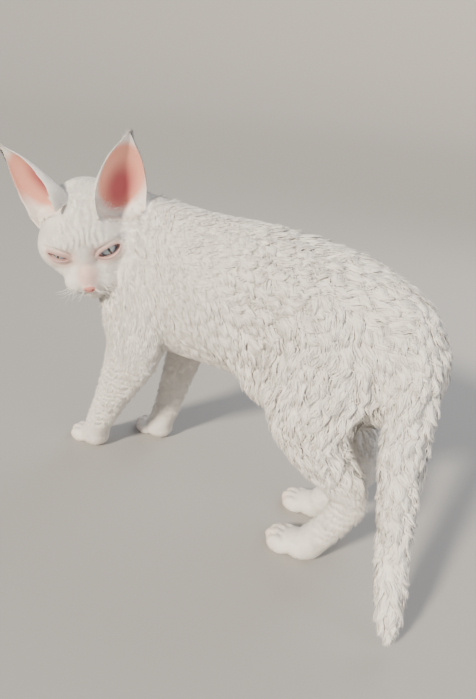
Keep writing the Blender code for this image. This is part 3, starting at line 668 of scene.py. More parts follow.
def keep_largest(obj):
    """Only the largest closed surface stays."""
    bm = bmesh.new()
    bm.from_mesh(obj.data)
    left = set(bm.verts)
    groups = []
    while left:
        queue = [left.pop()]
        group = list(queue)
        while queue:
            for edge in queue.pop().link_edges:
                for vert in edge.verts:
                    if vert in left:
                        left.remove(vert)
                        queue.append(vert)
                        group.append(vert)
        groups.append(group)
    groups.sort(key=len)
    for group in groups[:-1]:
        bmesh.ops.delete(bm, geom=group, context="VERTS")
    obj.data = mesh_from(bm, obj.name)
    return obj


def level_soles(obj):
    """Press what lies under the floor up to it, which leaves each foot a small flat."""
    points = read_points(obj.data)
    points[:, 2] = np.maximum(points[:, 2], SOLE_PRESS) - SOLE_PRESS
    write_points(obj.data, points)


soften(one_skin(skin, FIRST_VOXEL), 4)
seat(skin, 4)
soften(one_skin(skin, SKIN_VOXEL), 3)
keep_largest(skin)
refine_head(skin)
seat(skin, 3)
print("skin", len(skin.data.vertices), "points")

# %% [markdown]
# ## The ears
# A devon rex's ears are huge, thin cups set low on the head. Each is a sheet wrapped round the ear's own axis,
# wide at the base and closing to a point, made thick and then fused with the skin. Where the cup meets the
# skull, the head is hollowed first, so that the ear opens into it, and the join is smoothed like flesh.

# %% The ears' sizes
# Base in the head's frame, direction, height, and how far the opening turns outwards
EARS = {
    "left": ((-28, -28, 15), (-0.36, -0.42, 0.84), 61.5, math.radians(14)),
    "right": ((20, -33, 20.5), (31.5, -29, 40), 59.0, math.radians(26)),
}
# Up the ear: share of its height, half-width, depth of the cup, half-angle that the cup wraps round
EAR_SECTIONS = (
    (-0.10, 18.0, 17.0, 122),
    (0.08, 21.0, 17.0, 112),
    (0.27, 21.0, 14.0, 100),
    (0.50, 18.0, 10.5, 88),
    (0.70, 13.0, 7.5, 78),
    (0.86, 6.6, 4.2, 70),
    (1.00, 0.7, 0.5, 62),
)
# Down the hollow that opens the head into the cup: height over the ear's base in millimetres, and its size
EAR_HOLLOW = ((26, 1.0), (14, 1.0), (6, 0.98), (0, 0.90), (-5, 0.72), (-8.5, 0.45), (-10, 0.15))
EAR_COLUMNS = 37
EAR_ROWS = 60
EAR_THICKNESS = 1.5
EAR_TIP_THICKNESS = 0.8


def ear_frame(side):
    """+Z up the ear, +Y out of its cup, +X towards the cat's right."""
    base, direction, _, turn = EARS[side]
    up = Vector(direction).normalized()
    outwards = turn if side == "left" else -turn
    facing = Matrix.Rotation(outwards, 3, "Z") @ Vector((0, 1, 0))
    facing = (facing - facing.dot(up) * up).normalized()
    axes = Matrix((facing.cross(up), facing, up)).transposed().to_4x4()
    return HEAD @ Matrix.Translation(Vector(base)) @ axes


def ear_point(section, turn, inset, height):
    """A point of the ear's sheet: turn runs from -1 to 1 across it, inset is how far it lies within."""
    share, half_width, depth, wrap = section
    a = math.radians(wrap) * turn
    widest = math.sin(math.radians(min(wrap, 90)))
    x = (half_width - inset) * math.sin(a) / widest
    y = -(depth - inset) * (math.cos(a) - 0.35)
    # The outer and the inner edge roll over a little, and a shallow fold runs up the cup
    y += 0.9 * math.exp(-(((abs(turn) - 0.93) / 0.07) ** 2)) * (1 - share)
    x += 0.5 * math.sin(7 * turn + 5 * share) * (1 - abs(turn)) * (1 - share)
    return Vector((x, y, share * height))


def make_ear(side):
    """A closed sheet: the outside and the inside of the ear, joined along its rim."""
    place = ear_frame(side)
    height = EARS[side][2]
    bm = bmesh.new()
    layers = []
    for inner in (0, 1):
        rows = []
        for section in smooth_path(EAR_SECTIONS, EAR_ROWS):
            thick = EAR_TIP_THICKNESS + (EAR_THICKNESS - EAR_TIP_THICKNESS) * (1 - section[0])
            inset = (inner - 0.5) * thick
            turns = [2 * k / (EAR_COLUMNS - 1) - 1 for k in range(EAR_COLUMNS)]
            rows.append([bm.verts.new(place @ ear_point(section, t, inset, height)) for t in turns])
        layers.append(rows)
        for lower, upper in zip(rows, rows[1:]):
            for k in range(EAR_COLUMNS - 1):
                face = bm.faces.new((lower[k], lower[k + 1], upper[k + 1], upper[k]))
                face.material_index = inner
    outer, inside = layers
    ring_out = [*(row[0] for row in outer), *outer[-1][1:], *(row[-1] for row in outer[-2::-1]), *outer[0][-2:0:-1]]
    ring_in = [*(row[0] for row in inside), *inside[-1][1:], *(row[-1] for row in inside[-2::-1]), *inside[0][-2:0:-1]]
    for k in range(len(ring_out)):
        n = (k + 1) % len(ring_out)
        bm.faces.new((ring_out[k], ring_out[n], ring_in[n], ring_in[k]))
    return add_object(f"ear_{side}", mesh_from(bm, f"ear_{side}"), NIGHT)


def hollow_head(side):
    """Cut the inside of the cup out of the head, rounded off at its bottom."""
    place = ear_frame(side)
    height = EARS[side][2]
    sections = smooth_path(EAR_SECTIONS, EAR_ROWS)
    bm = bmesh.new()
    rings = []
    for level, size in EAR_HOLLOW:
        near = min(sections, key=lambda row: abs(max(row[0], 0.0) * height - max(level, 0.0)))
        ring = []
        for k in range(EAR_COLUMNS):
            spot = ear_point(near, 2 * k / (EAR_COLUMNS - 1) - 1, 0.0, height)
            ring.append(bm.verts.new(place @ Vector((spot.x * size, spot.y * size, level))))
        rings.append(ring)
    bridge_rings(bm, rings)
    combine(skin, add_object("hollow", mesh_from(bm, "hollow"), NIGHT))


# %% The ears, fused with the skin
def smooth_ear_base(side, rounds=24):
    """Average the points round the ear's base with their neighbours, so that the join is soft."""
    local = in_frame(read_points(skin.data), ear_frame(side))
    x, y, z = local.T
    share = ramp(z, 22, 12) * ramp(z, -18, -12) * ramp(np.hypot(x, y), 38, 30)
    group = skin.vertex_groups.new(name=f"base_{side}")
    for index in np.nonzero(share > 0.02)[0]:
        group.add([int(index)], float(share[index]), "REPLACE")
    step = skin.modifiers.new("base", "SMOOTH")
    step.vertex_group = group.name
    step.iterations = rounds
    step.factor = 0.5
    settle(skin)
    skin.vertex_groups.clear()


skin.data.materials.clear()
for side in EARS:
    hollow_head(side)
for side in EARS:
    combine(skin, make_ear(side), "UNION")
    smooth_ear_base(side)
print("skin with ears", len(skin.data.vertices), "points")

# %% [markdown]
# ## Lids, nose and mouth
# The eyes are half closed, with the gaze down and back. A socket a hair wider than the ball is cut first and
# then the almond opening between the lids, so the lids are a real layer of skin over the ball. The mouth and
# the groove under the nose are thin tubes, cut along lines that follow the skin, and the nostrils are small tilted
# ovals.

# %% Cuts in the face
PHILTRUM = ((0, 22.3, -26), (0, 20.3, -29), (0, 18.3, -31.7))
MOUTH = ((0, 19, -31.7), (4, 18.5, -32.8), (8, 16, -32.8), (11, 12.5, -31.8), (13, 9, -30.4))
GROOVE_RADIUS = 0.55
NOSTRIL = (2.7, 20.9, -23.3)
NOSTRIL_RADII = (1.0, 2.0, 0.8)


def almond(s, share, spread=1.0):
    """A point on the edge of the opening between the lids, once round as share runs from 0 to 1."""
    half_width, up, down = EYE_OPENINGS[s]
    a = 2 * math.pi * share
    tall = up if math.sin(a) > 0 else down
    return (half_width * math.cos(a) * spread, tall * math.copysign(abs(math.sin(a)) ** 1.25, math.sin(a)) * spread)


def cut_eye(s):
    clear = EYEBALL_RADIUS + 0.25
    bm = bmesh.new()
    add_ball(bm, eye_frame(s), (0, 0, 0), (clear, clear, clear), 48)
    combine(skin, add_object("socket", mesh_from(bm, "socket"), NIGHT))
    bm = bmesh.new()
    rings = []
    for depth, spread in ((5.0, 0.86), (10.5, 1.0), (18.0, 1.2)):
        edge = [almond(s, k / 48, spread) for k in range(48)]
        rings.append([bm.verts.new(eye_frame(s) @ Vector((x, depth, z))) for x, z in edge])
    bridge_rings(bm, rings)
    combine(skin, add_object("opening", mesh_from(bm, "opening"), NIGHT))


def skin_tree(obj=None):
    mesh = (obj or skin).data
    return BVHTree.FromPolygons([v.co for v in mesh.vertices], [p.vertices for p in mesh.polygons])


def facing_frame(middle, ahead):
    return Matrix.Translation(middle) @ ahead.normalized().to_track_quat("Z", "Y").to_matrix().to_4x4()


def add_cord(bm, points, radii, sides=8):
    """A tube along points with a radius at each, closed at both ends."""
    rings = []
    last = len(points) - 1
    for i, point in enumerate(points):
        place = facing_frame(point, points[min(i + 1, last)] - points[max(i - 1, 0)])
        turns = [2 * math.pi * k / sides for k in range(sides)]
        rings.append([bm.verts.new(place @ Vector((radii[i] * math.cos(a), radii[i] * math.sin(a), 0))) for a in turns])
    bridge_rings(bm, rings)


def cut_mouth():
    tree = skin_tree()
    for line in (PHILTRUM, MOUTH, [(-x, y, z) for x, y, z in MOUTH]):
        points = []
        for row in smooth_path(line, 6 * len(line)):
            spot, normal, _, _ = tree.find_nearest(HEAD @ Vector(row))
            points.append(spot - normal * 0.1 * MM)
        radii = [GROOVE_RADIUS * MM * min(1.0, 0.4 + 3 * min(i, len(points) - 1 - i) / len(points)) for i in range(len(points))]
        bm = bmesh.new()
        add_cord(bm, points, radii)
        combine(skin, add_object("groove", mesh_from(bm, "groove"), NIGHT))
    for s in SIDES.values():
        bm = bmesh.new()
        place = HEAD @ Matrix.Translation((s * NOSTRIL[0], NOSTRIL[1], NOSTRIL[2])) @ Matrix.Rotation(s * 0.5, 4, "Y")
        add_ball(bm, place, (0, 0, 0), NOSTRIL_RADII, 20)
        combine(skin, add_object("nostril", mesh_from(bm, "nostril"), NIGHT))


for s in SIDES.values():
    cut_eye(s)
cut_mouth()
keep_largest(skin)
level_soles(skin)
print("skin with its openings", len(skin.data.vertices), "points")

# %% [markdown]
# ## The eyes
# Each eye is a ball with the clear front bulged, as the cornea is. The colour is painted by its place on the
# ball: a pale, grey-blue iris with a darker rim and an upright pupil, narrow in the light. A thin, rolled rim
# of bare skin runs round the opening of the lids and is what makes the eye look wet and alive.

# %% The eyeballs and the rims of the lids
CORNEA_RADIUS = 7.4
CORNEA_BULGE = 1.0
IRIS_RADIUS = 7.0
RIM_RADIUS = 0.55


def make_eyeball(side):
    s = SIDES[side]
    bm = bmesh.new()
    bmesh.ops.create_uvsphere(bm, u_segments=64, v_segments=48, radius=EYEBALL_RADIUS)
    bmesh.ops.rotate(bm, verts=bm.verts, matrix=Matrix.Rotation(math.pi / 2, 3, "X"))
    for vert in bm.verts:
        off_axis = math.hypot(vert.co.x, vert.co.z)
        if vert.co.y > 0 and off_axis < CORNEA_RADIUS:
            vert.co.y += CORNEA_BULGE * (1 - (off_axis / CORNEA_RADIUS) ** 2) ** 1.5 - 0.6
        vert.co *= 0.985
    bmesh.ops.transform(bm, verts=bm.verts, matrix=eye_frame(s))
    obj = add_object(f"eyeball_{side}", mesh_from(bm, f"eyeball_{side}"))
    obj.data.shade_smooth()
    return obj


def make_lid_rim(side):
    """A thin tube round the almond opening, at the edge of the skin."""
    s = SIDES[side]
    bm = bmesh.new()
    rings = []
    count = 72
    for k in range(count):
        x, z = almond(s, k / count)
        y = math.sqrt(max((EYEBALL_RADIUS + 0.55) ** 2 - x * x - z * z, 0.1))
        ahead = Vector(almond(s, (k + 0.5) / count)) - Vector(almond(s, (k - 0.5) / count))
        ahead = Vector((ahead.x, 0, ahead.y)).normalized()
        out = Vector((x, y, z)).normalized()
        across = ahead.cross(out)
        middle = Vector((x, y, z))
        ring = []
        for n in range(8):
            a = 2 * math.pi * n / 8
            ring.append(bm.verts.new(eye_frame(s) @ (middle + (out * math.cos(a) + across * math.sin(a)) * RIM_RADIUS)))
        rings.append(ring)
    for lower, upper in zip(rings, rings[1:] + rings[:1]):
        for n in range(8):
            m = (n + 1) % 8
            bm.faces.new((lower[n], lower[m], upper[m], upper[n]))
    obj = add_object(f"lid_rim_{side}", mesh_from(bm, f"lid_rim_{side}"))
    obj.data.shade_smooth()
    return obj


eyeballs = {side: make_eyeball(side) for side in SIDES}
lid_rims = {side: make_lid_rim(side) for side in SIDES}
print("eyes", [len(obj.data.vertices) for obj in eyeballs.values()])

# %% [markdown]
# ## Finishes
# A finish could be a picture wrapped round the model, but a picture has to be painted and it blurs up close.
# Here each finish is worked out in its shader from the place on the cat. The small class below lets the sums be
# written as plain Python, such as 1 - mask, and adds the Math node for each sign.

# %% Sums on sockets
class Value:
    """The output of a node, which can be added, multiplied and so on."""

    def __init__(self, finish, socket):
        self.finish = finish
        self.socket = socket

    def sum(self, operation, first, second):
        return self.finish.node("ShaderNodeMath", {"operation": operation}, {0: first, 1: second})

    def __add__(self, other):
        return self.sum("ADD", self, other)

    def __sub__(self, other):
        return self.sum("SUBTRACT", self, other)

    def __rsub__(self, other):
        return self.sum("SUBTRACT", other, self)

    def __mul__(self, other):
        return self.sum("MULTIPLY", self, other)

    def __pow__(self, other):
        return self.sum("POWER", self, other)

    __radd__ = __add__
    __rmul__ = __mul__


class Finish:
    """A material with one Principled shader, and the nodes that feed it."""

    def __init__(self, name, **constants):
        self.material = bpy.data.materials.new(name)
        self.material.use_nodes = True
        self.tree = self.material.node_tree
        self.shader = self.tree.nodes["Principled BSDF"]
        for socket, value in constants.items():
            self.feed(socket.replace("_", " "), value)

    def feed(self, name, value):
        self.put(self.shader.inputs[name], value)

    def put(self, socket, value):
        if isinstance(value, Value):
            self.tree.links.new(value.socket, socket)
        elif isinstance(value, (tuple, list)) and socket.type == "RGBA":
            socket.default_value = (*value[:3], 1.0)
        else:
            socket.default_value = value

    def node(self, kind, settings=None, sockets=None, output=0):
        """Any node: its settings first, then the values or links of its sockets."""
        made = self.tree.nodes.new(kind)
        for name, value in (settings or {}).items():
            if name == "stops":
                ramp_stops = made.color_ramp.elements
                while len(ramp_stops) < len(value):
                    ramp_stops.new(0.5)
                for stop, (place, colour) in zip(ramp_stops, value):
                    stop.position = place
                    stop.color = (*colour, 1.0)
            else:
                setattr(made, name, value)
        for key, value in (sockets or {}).items():
            self.put(made.inputs[key], value)
        return Value(self, made.outputs[output])

    def place(self):
        return self.node("ShaderNodeTexCoord", output="Object")

    def noise(self, vector, scale, detail=2.0, roughness=0.5):
        sockets = {"Vector": vector, "Scale": scale, "Detail": detail, "Roughness": roughness}
        return self.node("ShaderNodeTexNoise", None, sockets)

    def mix(self, factor, first, second):
        settings = {"data_type": "RGBA"}
        return self.node("ShaderNodeMix", settings, {0: factor, 6: first, 7: second}, output=2)

    def within(self, vector, place, middle, radii, soft=0.35):
        """One inside an ellipsoid given in a frame of its own, fading to nought over its edge."""
        shape = place @ Matrix.Translation(Vector(middle)) @ Matrix.Diagonal((*radii, 1.0))
        rows = (Matrix.Translation(-BOX_MIDDLE) @ shape).inverted()
        parts = []
        for row in rows[:3]:
            along = self.node("ShaderNodeVectorMath", {"operation": "DOT_PRODUCT"}, {0: vector, 1: tuple(row[:3])}, "Value")
            parts.append((along + row[3]) ** 2.0)
        away = (parts[0] + parts[1] + parts[2]) ** 0.5
        sockets = {"Value": away, "From Min": 1.0 + soft, "From Max": 1.0 - soft}
        return self.node("ShaderNodeMapRange", {"interpolation_type": "SMOOTHSTEP"}, sockets)

    def bump(self, height, strength, distance):
        sockets = {"Height": height, "Strength": strength, "Distance": distance}
        return self.node("ShaderNodeBump", None, sockets, output="Normal")


print("finish tools ready")

# %% [markdown]
# ## Skin and coat colours
# The cat is white, but its skin is pink and shows where the coat is thin: round the eyes, on the nose, the
# lips, the toes and inside the ears. Skin and coat share one set of markings, so a tuft has the colour of the
# place that it grows from. The skin's own fine bump stands for hair that is too short for a tuft.

# %% Markings shared by skin and coat
WHITE = (0.92, 0.89, 0.845)
CREAM = (0.88, 0.80, 0.70)
BARE_PINK = (0.86, 0.48, 0.41)
NOSE_PINK = (0.76, 0.30, 0.26)
LIP_PINK = (0.70, 0.40, 0.36)
LID_PINK = (0.50, 0.30, 0.28)
EAR_PINK = (0.84, 0.36, 0.25)
# The dark red of the cups is partly the lining's own redder tone and partly painted shade of the hollow.
EAR_RED_AND_SHADE = (0.42, 0.06, 0.09)
# The bare part of each cup: middle and half-sizes in the ear's frame
BARE_CUP = {"left": ((-1.6, -4, 24.5), (18.0, 40, 28.5)), "right": ((1.6, -4, 22.5), (18.5, 40, 28))}


def markings(finish, vector):
    """White with a breath of cream, and pink where the coat thins out on the face and the feet."""
    patches = finish.noise(vector, 26.0, 3.0)
    colour = finish.mix(patches * 0.6, WHITE, CREAM)
    for s in SIDES.values():
        eye = finish.within(vector, HEAD, (s * 17.5, -1, -2), (13, 12, 9.5), 0.45)
        colour = finish.mix(eye * 0.68, colour, BARE_PINK)
    bridge = finish.within(vector, HEAD, (0, 14, -15), (8, 12, 11), 0.5)
    colour = finish.mix(bridge * 0.62, colour, BARE_PINK)
    for x, y, size in PAWS.values():
        toes = finish.within(vector, paw_frame(x, y, size), (0, -14, 3), (12, 9, 7), 0.5)
        colour = finish.mix(toes * 0.30, colour, BARE_PINK)
    return colour


def skin_finish():
    finish = Finish("skin", Roughness=0.62)
    vector = finish.place()
    colour = markings(finish, vector)
    nose = finish.within(vector, HEAD, NOSE, NOSE_RADII, 0.15)
    chin = finish.within(vector, HEAD, (0, 17.8, -32.3), (11.5, 6.5, 1.8), 0.45)
    colour = finish.mix(chin * 0.65, colour, LIP_PINK)
    colour = finish.mix(nose, colour, NOSE_PINK)
    for s in SIDES.values():
        inner = finish.within(vector, eye_frame(s), (0, 9.5, 0), (10.8, 5.0, 5.8), 0.2)
        colour = finish.mix(inner * 0.75, colour, LID_PINK)
        # Painted shade: the inside of each nostril is darkened to a deep red-brown.
        nostril_shade = finish.within(vector, HEAD, (s * NOSTRIL[0], NOSTRIL[1] - 0.4, NOSTRIL[2]), (1.1, 2.2, 1.0), 0.2)
        colour = finish.mix(nostril_shade * 0.85, colour, (0.16, 0.06, 0.06))
    finish.feed("Base Color", colour)
    finish.feed("Roughness", 0.66 - nose * 0.28)
    fine = finish.noise(vector, 900.0, 3.0, 0.65)
    finish.feed("Normal", finish.bump(fine, 0.35, 0.0006))
    finish.feed("Subsurface Weight", 0.12)
    finish.feed("Subsurface Radius", (0.004, 0.0018, 0.0012))
    return finish.material


def ear_lining_finish():
    """Bare skin in the cup: salmon, a dark red down in the middle that is partly the skin's own redder tone and partly
    painted shade of the hollow, pale and downy towards the rim.
    """
    finish = Finish("ear_lining", Roughness=0.5)
    vector = finish.place()
    colour = finish.mix(finish.noise(vector, 60.0, 3.0) * 0.5, EAR_PINK, BARE_PINK)
    for side in EARS:
        place = ear_frame(side)
        # Partly painted shade: the deepest part of each cup is darkened to a dark red, over the lining's own redder
        # tone.
        deep = finish.within(vector, place, (-3.0, -8, 16), (10.5, 13, 18), 0.6)
        colour = finish.mix(deep * 0.9, colour, EAR_RED_AND_SHADE)
    bare_skin = finish.within(vector, ear_frame("left"), *BARE_CUP["left"], 0.14)
    bare_skin = bare_skin + finish.within(vector, ear_frame("right"), *BARE_CUP["right"], 0.14)
    colour = finish.mix(bare_skin, WHITE, colour)
    finish.feed("Base Color", colour)
    veins = finish.noise(vector, 140.0, 4.0, 0.6)
    finish.feed("Normal", finish.bump(veins, 0.3, 0.0008))
    finish.feed("Subsurface Weight", 0.25)
    finish.feed("Subsurface Radius", (0.008, 0.003, 0.002))
    return finish.material


def coat_finish():
    """Soft, fine hair: the skin's markings, a little lighter, with no hard shine."""
    finish = Finish("coat", Roughness=0.72)
    vector = finish.place()
    strands = finish.noise(vector, 420.0, 2.0, 0.6)
    finish.feed("Base Color", finish.mix(strands * 0.22, markings(finish, vector), (0.95, 0.93, 0.90)))
    finish.feed("Normal", finish.bump(finish.noise(vector, 1500.0, 2.0), 0.25, 0.0004))
    finish.feed("Sheen Weight", 0.25)
    finish.feed("Sheen Roughness", 0.5)
    finish.feed("Specular IOR Level", 0.3)
    return finish.material


def eye_finish(side):
    """The iris by its distance from the gaze, with fine spokes, an upright pupil and a wet surface."""
    finish = Finish(f"eye_{side}", Roughness=0.06)
    vector = finish.place()
    place = eye_frame(SIDES[side])
    iris = finish.within(vector, place, (0, 8.0, 0), (IRIS_RADIUS, 30, IRIS_RADIUS), 0.05)
    core = finish.within(vector, place, (0, 8.0, 0), (IRIS_RADIUS * 0.80, 30, IRIS_RADIUS * 0.80), 0.25)
    pupil = finish.within(vector, place, (0, 8.0, 0), (1.0, 30, 4.2), 0.12)
    spokes = finish.noise(vector, 1400.0, 3.0, 0.6)
    blue = finish.mix(spokes, (0.20, 0.29, 0.36), (0.46, 0.58, 0.64))
    colour = finish.mix(iris, (0.62, 0.52, 0.50), finish.mix(core, (0.10, 0.15, 0.20), blue))
    finish.feed("Base Color", finish.mix(pupil, colour, (0.01, 0.01, 0.012)))
    finish.feed("Coat Weight", 1.0)
    finish.feed("Coat Roughness", 0.02)
    return finish.material


def lid_rim_finish():
    finish = Finish("lid_rim", Roughness=0.28)
    vector = finish.place()
    colour = finish.mix(finish.noise(vector, 500.0), LID_PINK, (0.30, 0.18, 0.17))
    finish.feed("Base Color", colour)
    finish.feed("Normal", finish.bump(finish.noise(vector, 1800.0), 0.2, 0.0002))
    return finish.material


SKIN_LOOK = skin_finish()
LINING_LOOK = ear_lining_finish()
COAT_LOOK = coat_finish()
LID_LOOK = lid_rim_finish()
print("finishes:", [material.name for material in (SKIN_LOOK, LINING_LOOK, COAT_LOOK, LID_LOOK)])

# %% Finishes put on
def in_cup(points, normals, side):
    """Whether faces belong to the inner side of the ear's sheet: near it and facing its axis."""
    place = ear_frame(side)
    x, y, z = in_frame(points, place).T
    height = EARS[side][2]
    sections = np.array(smooth_path(EAR_SECTIONS, EAR_ROWS))
    share = np.clip(z / height, 0, 1)
    wide = np.interp(share, sections[:, 0], sections[:, 1])
    deep = np.interp(share, sections[:, 0], sections[:, 2])
    turned = normals @ (np.array(place.to_3x3()) / MM)
    facing = -turned[:, 0] * x + turned[:, 1] * (0.35 * deep - y)
    inside = (x / wide) ** 2 + ((y - 0.35 * deep) / deep) ** 2 < 1.05
    return inside & (facing > 0) & (z > -7) & (z < height) & (y < 0.55 * deep)


def dress_skin():
    mesh = skin.data
    mesh.materials.clear()
    mesh.materials.append(SKIN_LOOK)
    mesh.materials.append(LINING_LOOK)
    count = len(mesh.polygons)
    centres, normals = np.empty(count * 3), np.empty(count * 3)
    mesh.polygons.foreach_get("center", centres)
    mesh.polygons.foreach_get("normal", normals)
    centres, normals = centres.reshape(-1, 3), normals.reshape(-1, 3)
    lined = in_cup(centres, normals, "left") | in_cup(centres, normals, "right")
    mesh.polygons.foreach_set("material_index", lined.astype(np.int32))
    mesh.shade_smooth()
    return lined


LINED = dress_skin()
for side, obj in eyeballs.items():
    obj.data.materials.append(eye_finish(side))
for obj in lid_rims.values():
    obj.data.materials.append(LID_LOOK)
print("lined faces", int(LINED.sum()))

# %% [markdown]
# ## The lie of the coat
# Particle hair would be quick to comb, but it is lost when a model is exported, so every tuft here is a small
# closed mesh. Each starts from a root on the skin and walks over it, step by step, along the lie of the coat:
# back and down over the body, down the legs, along the tail, and away from the nose over the head.

# %% Which way the hair lies
NOSE_TIP = (0, 24, -22)
REACH = 5.0


def on_ear(points, side):
    """One on an ear, nought off it, and the height up the ear."""
    x, y, z = in_frame(points, ear_frame(side)).T
    return ramp(z, 0, 9) * ramp(np.hypot(x, y), 27, 23), z


def lie_of_coat(points):
    """The unit direction of the lie at each point, before it is laid along the skin."""
    spots = points / MM
    total = np.zeros_like(points)

    def add(depth, heading, weight=1.0):
        share = np.exp(-np.maximum(depth, -6.0) / REACH) * weight
        total[:] = total + heading * share[:, None]

    torso, _ = tube_depth(spots, TORSO)
    low = np.clip((205 - spots[:, 2]) / 70, 0, 1)
    add(torso, np.stack([0 * low, 1 - 0.5 * low, -0.1 - 0.8 * low], axis=1))
    neck, up_neck = tube_depth(spots, NECK)
    add(neck, -up_neck * 0.8 + np.array((0, 0.1, -0.55)), 1.2)
    for stations in (TAIL, *FRONT_LEGS.values(), *HIND_LEGS.values()):
        depth, heading = tube_depth(spots, stations)
        add(depth, heading, 1.4)
    for place in PAWS.values():
        local = in_frame(points, paw_frame(*place))
        add(ball_depth(local, (0, -3, 6), (13, 20, 9)) * place[2], np.tile((0, -0.8, -0.35), (len(points), 1)), 2.0)
    local = in_frame(points, HEAD)
    away = local - np.array(NOSE_TIP, float)
    away /= np.linalg.norm(away, axis=1)[:, None]
    turned = away @ (np.array(HEAD.to_3x3()) / MM).T
    add(np.linalg.norm((local - (0, -14, -4)) / (33, 42, 33), axis=1) * 33 - 33, turned, 3.0)
    for side in EARS:
        share, _ = on_ear(points, side)
        axis = np.array(ear_frame(side).to_3x3() @ Vector((0, 0, 1))) / MM
        total[:] = total * (1 - share)[:, None] + axis * share[:, None] * 9
    return total / np.linalg.norm(total, axis=1)[:, None]


# %% Roots spread over the skin
EAR_COAT = (0.30, 1.8, 0.38, 0.52)
EAR_TIP_COAT = (0.4, 4.8, 0.45, 0.46)
CUP_DOWN = 0.45


def coat_rows(points):
    """The coat's table for points of the skin, with the ears' suede and the small brushes at their tips."""
    rows = coat_at(points / MM)
    for side in EARS:
        share, z = on_ear(points, side)
        rows += (np.array(EAR_COAT) - rows) * share[:, None]
        rows += (np.array(EAR_TIP_COAT) - rows) * ramp(z, EARS[side][2] - 9, EARS[side][2] - 3)[:, None] * share[:, None]
    return rows


def read_faces(mesh):
    """Corners, normals and areas of the mesh's triangles, and the face that each comes from."""
    mesh.calc_loop_triangles()
    count = len(mesh.loop_triangles)
    corners = np.empty(count * 3, np.int32)
    mesh.loop_triangles.foreach_get("vertices", corners)
    owner = np.empty(count, np.int32)
    mesh.loop_triangles.foreach_get("polygon_index", owner)
    points = read_points(mesh)[corners.reshape(-1, 3)]
    cross = np.cross(points[:, 1] - points[:, 0], points[:, 2] - points[:, 0])
    length = np.linalg.norm(cross, axis=1) + 1e-15
    return points, cross / length[:, None], length / 2, owner


def cover(centres, normals, owner):
    """How thickly tufts grow: not at all round the eyeballs, on the nose and under the feet, thinly in the cups."""
    out = np.ones(len(centres))
    for side in EARS:
        _, z = on_ear(centres, side)
        middle, radii = BARE_CUP[side]
        off = np.linalg.norm((in_frame(centres, ear_frame(side)) - middle) / radii, axis=1)
        own = LINED[owner] & (z > -8) & (np.abs(off) < 1.9)
        out[own] = CUP_DOWN * ramp(off, 0.82, 1.08)[own]
    for s in SIDES.values():
        x, y, z = in_frame(centres, eye_frame(s)).T
        out[np.linalg.norm((x, y, z), axis=0) < EYEBALL_RADIUS + 0.6] = 0
        _, up, down = EYE_OPENINGS[s]
        out[(y > 0) & ((x / 11.4) ** 2 + (z / (max(up, down) + 1.6)) ** 2 < 1)] = 0
    out *= 1 - nose_leather(centres / MM)
    out[(centres[:, 2] < 1.2 * MM) & (normals[:, 2] < -0.5)] = 0
    return out


def spread_roots(dice, density=1.0):
    """Random roots, each region as dense as the table says."""
    points, normals, areas, owner = read_faces(skin.data)
    centres = points.mean(axis=1)
    weights = areas / (coat_rows(centres)[:, 3] * MM) ** 2 * cover(centres, normals, owner) * density
    total = np.cumsum(weights)
    count = int(total[-1])
    picks = np.minimum(np.searchsorted(total, dice.random(count) * total[-1]), len(weights) - 1)
    a, b = np.sort(dice.random((2, count)), axis=0)
    shares = np.stack([a, b - a, 1 - b], axis=1)
    return (points[picks] * shares[:, :, None]).sum(axis=1), normals[picks]


# %% Walks over the skin
def laid(headings, ups):
    """Headings laid along the skin, of unit length."""
    level = headings - (headings * ups).sum(axis=1)[:, None] * ups
    return level / (np.linalg.norm(level, axis=1)[:, None] + 1e-9)


def walk(roots, normals, headings, lengths, bends, steps):
    """Paths over the skin: each goes its heading, swinging from side to side by its bends."""
    spots, ups = [roots], [normals]
    for k in range(steps):
        level = laid(headings, ups[-1])
        swing = bends[:, k][:, None]
        ahead = level * np.cos(swing) + np.cross(ups[-1], level) * np.sin(swing)
        guess = spots[-1] + ahead * (lengths / steps)[:, None]
        if steps == 1:
            found = guess, normals
        else:
            found = zip(*(tree.find_nearest(spot)[:2] for spot in guess))
        spot, up = (np.array(part) for part in found)
        spots.append(spot)
        ups.append(up)
    return np.stack(spots, axis=1), np.stack(ups, axis=1)


# %% Locks that gather the tufts
LOCK_SPACING = 6.5 * MM
LOCK_STEPS = 6
WAVES = 1.15


def pick_apart(roots, spacing):
    """A subset of roots that keep a distance from each other."""
    cells = {}
    kept = []
    for i, root in enumerate(roots):
        cell = tuple(np.floor(root / spacing).astype(int))
        near = [(cell[0] + a, cell[1] + b, cell[2] + c) for a in (-1, 0, 1) for b in (-1, 0, 1) for c in (-1, 0, 1)]
        if all(np.linalg.norm(root - other) >= spacing for key in near for other in cells.get(key, ())):
            cells.setdefault(cell, []).append(root)
            kept.append(i)
    return kept


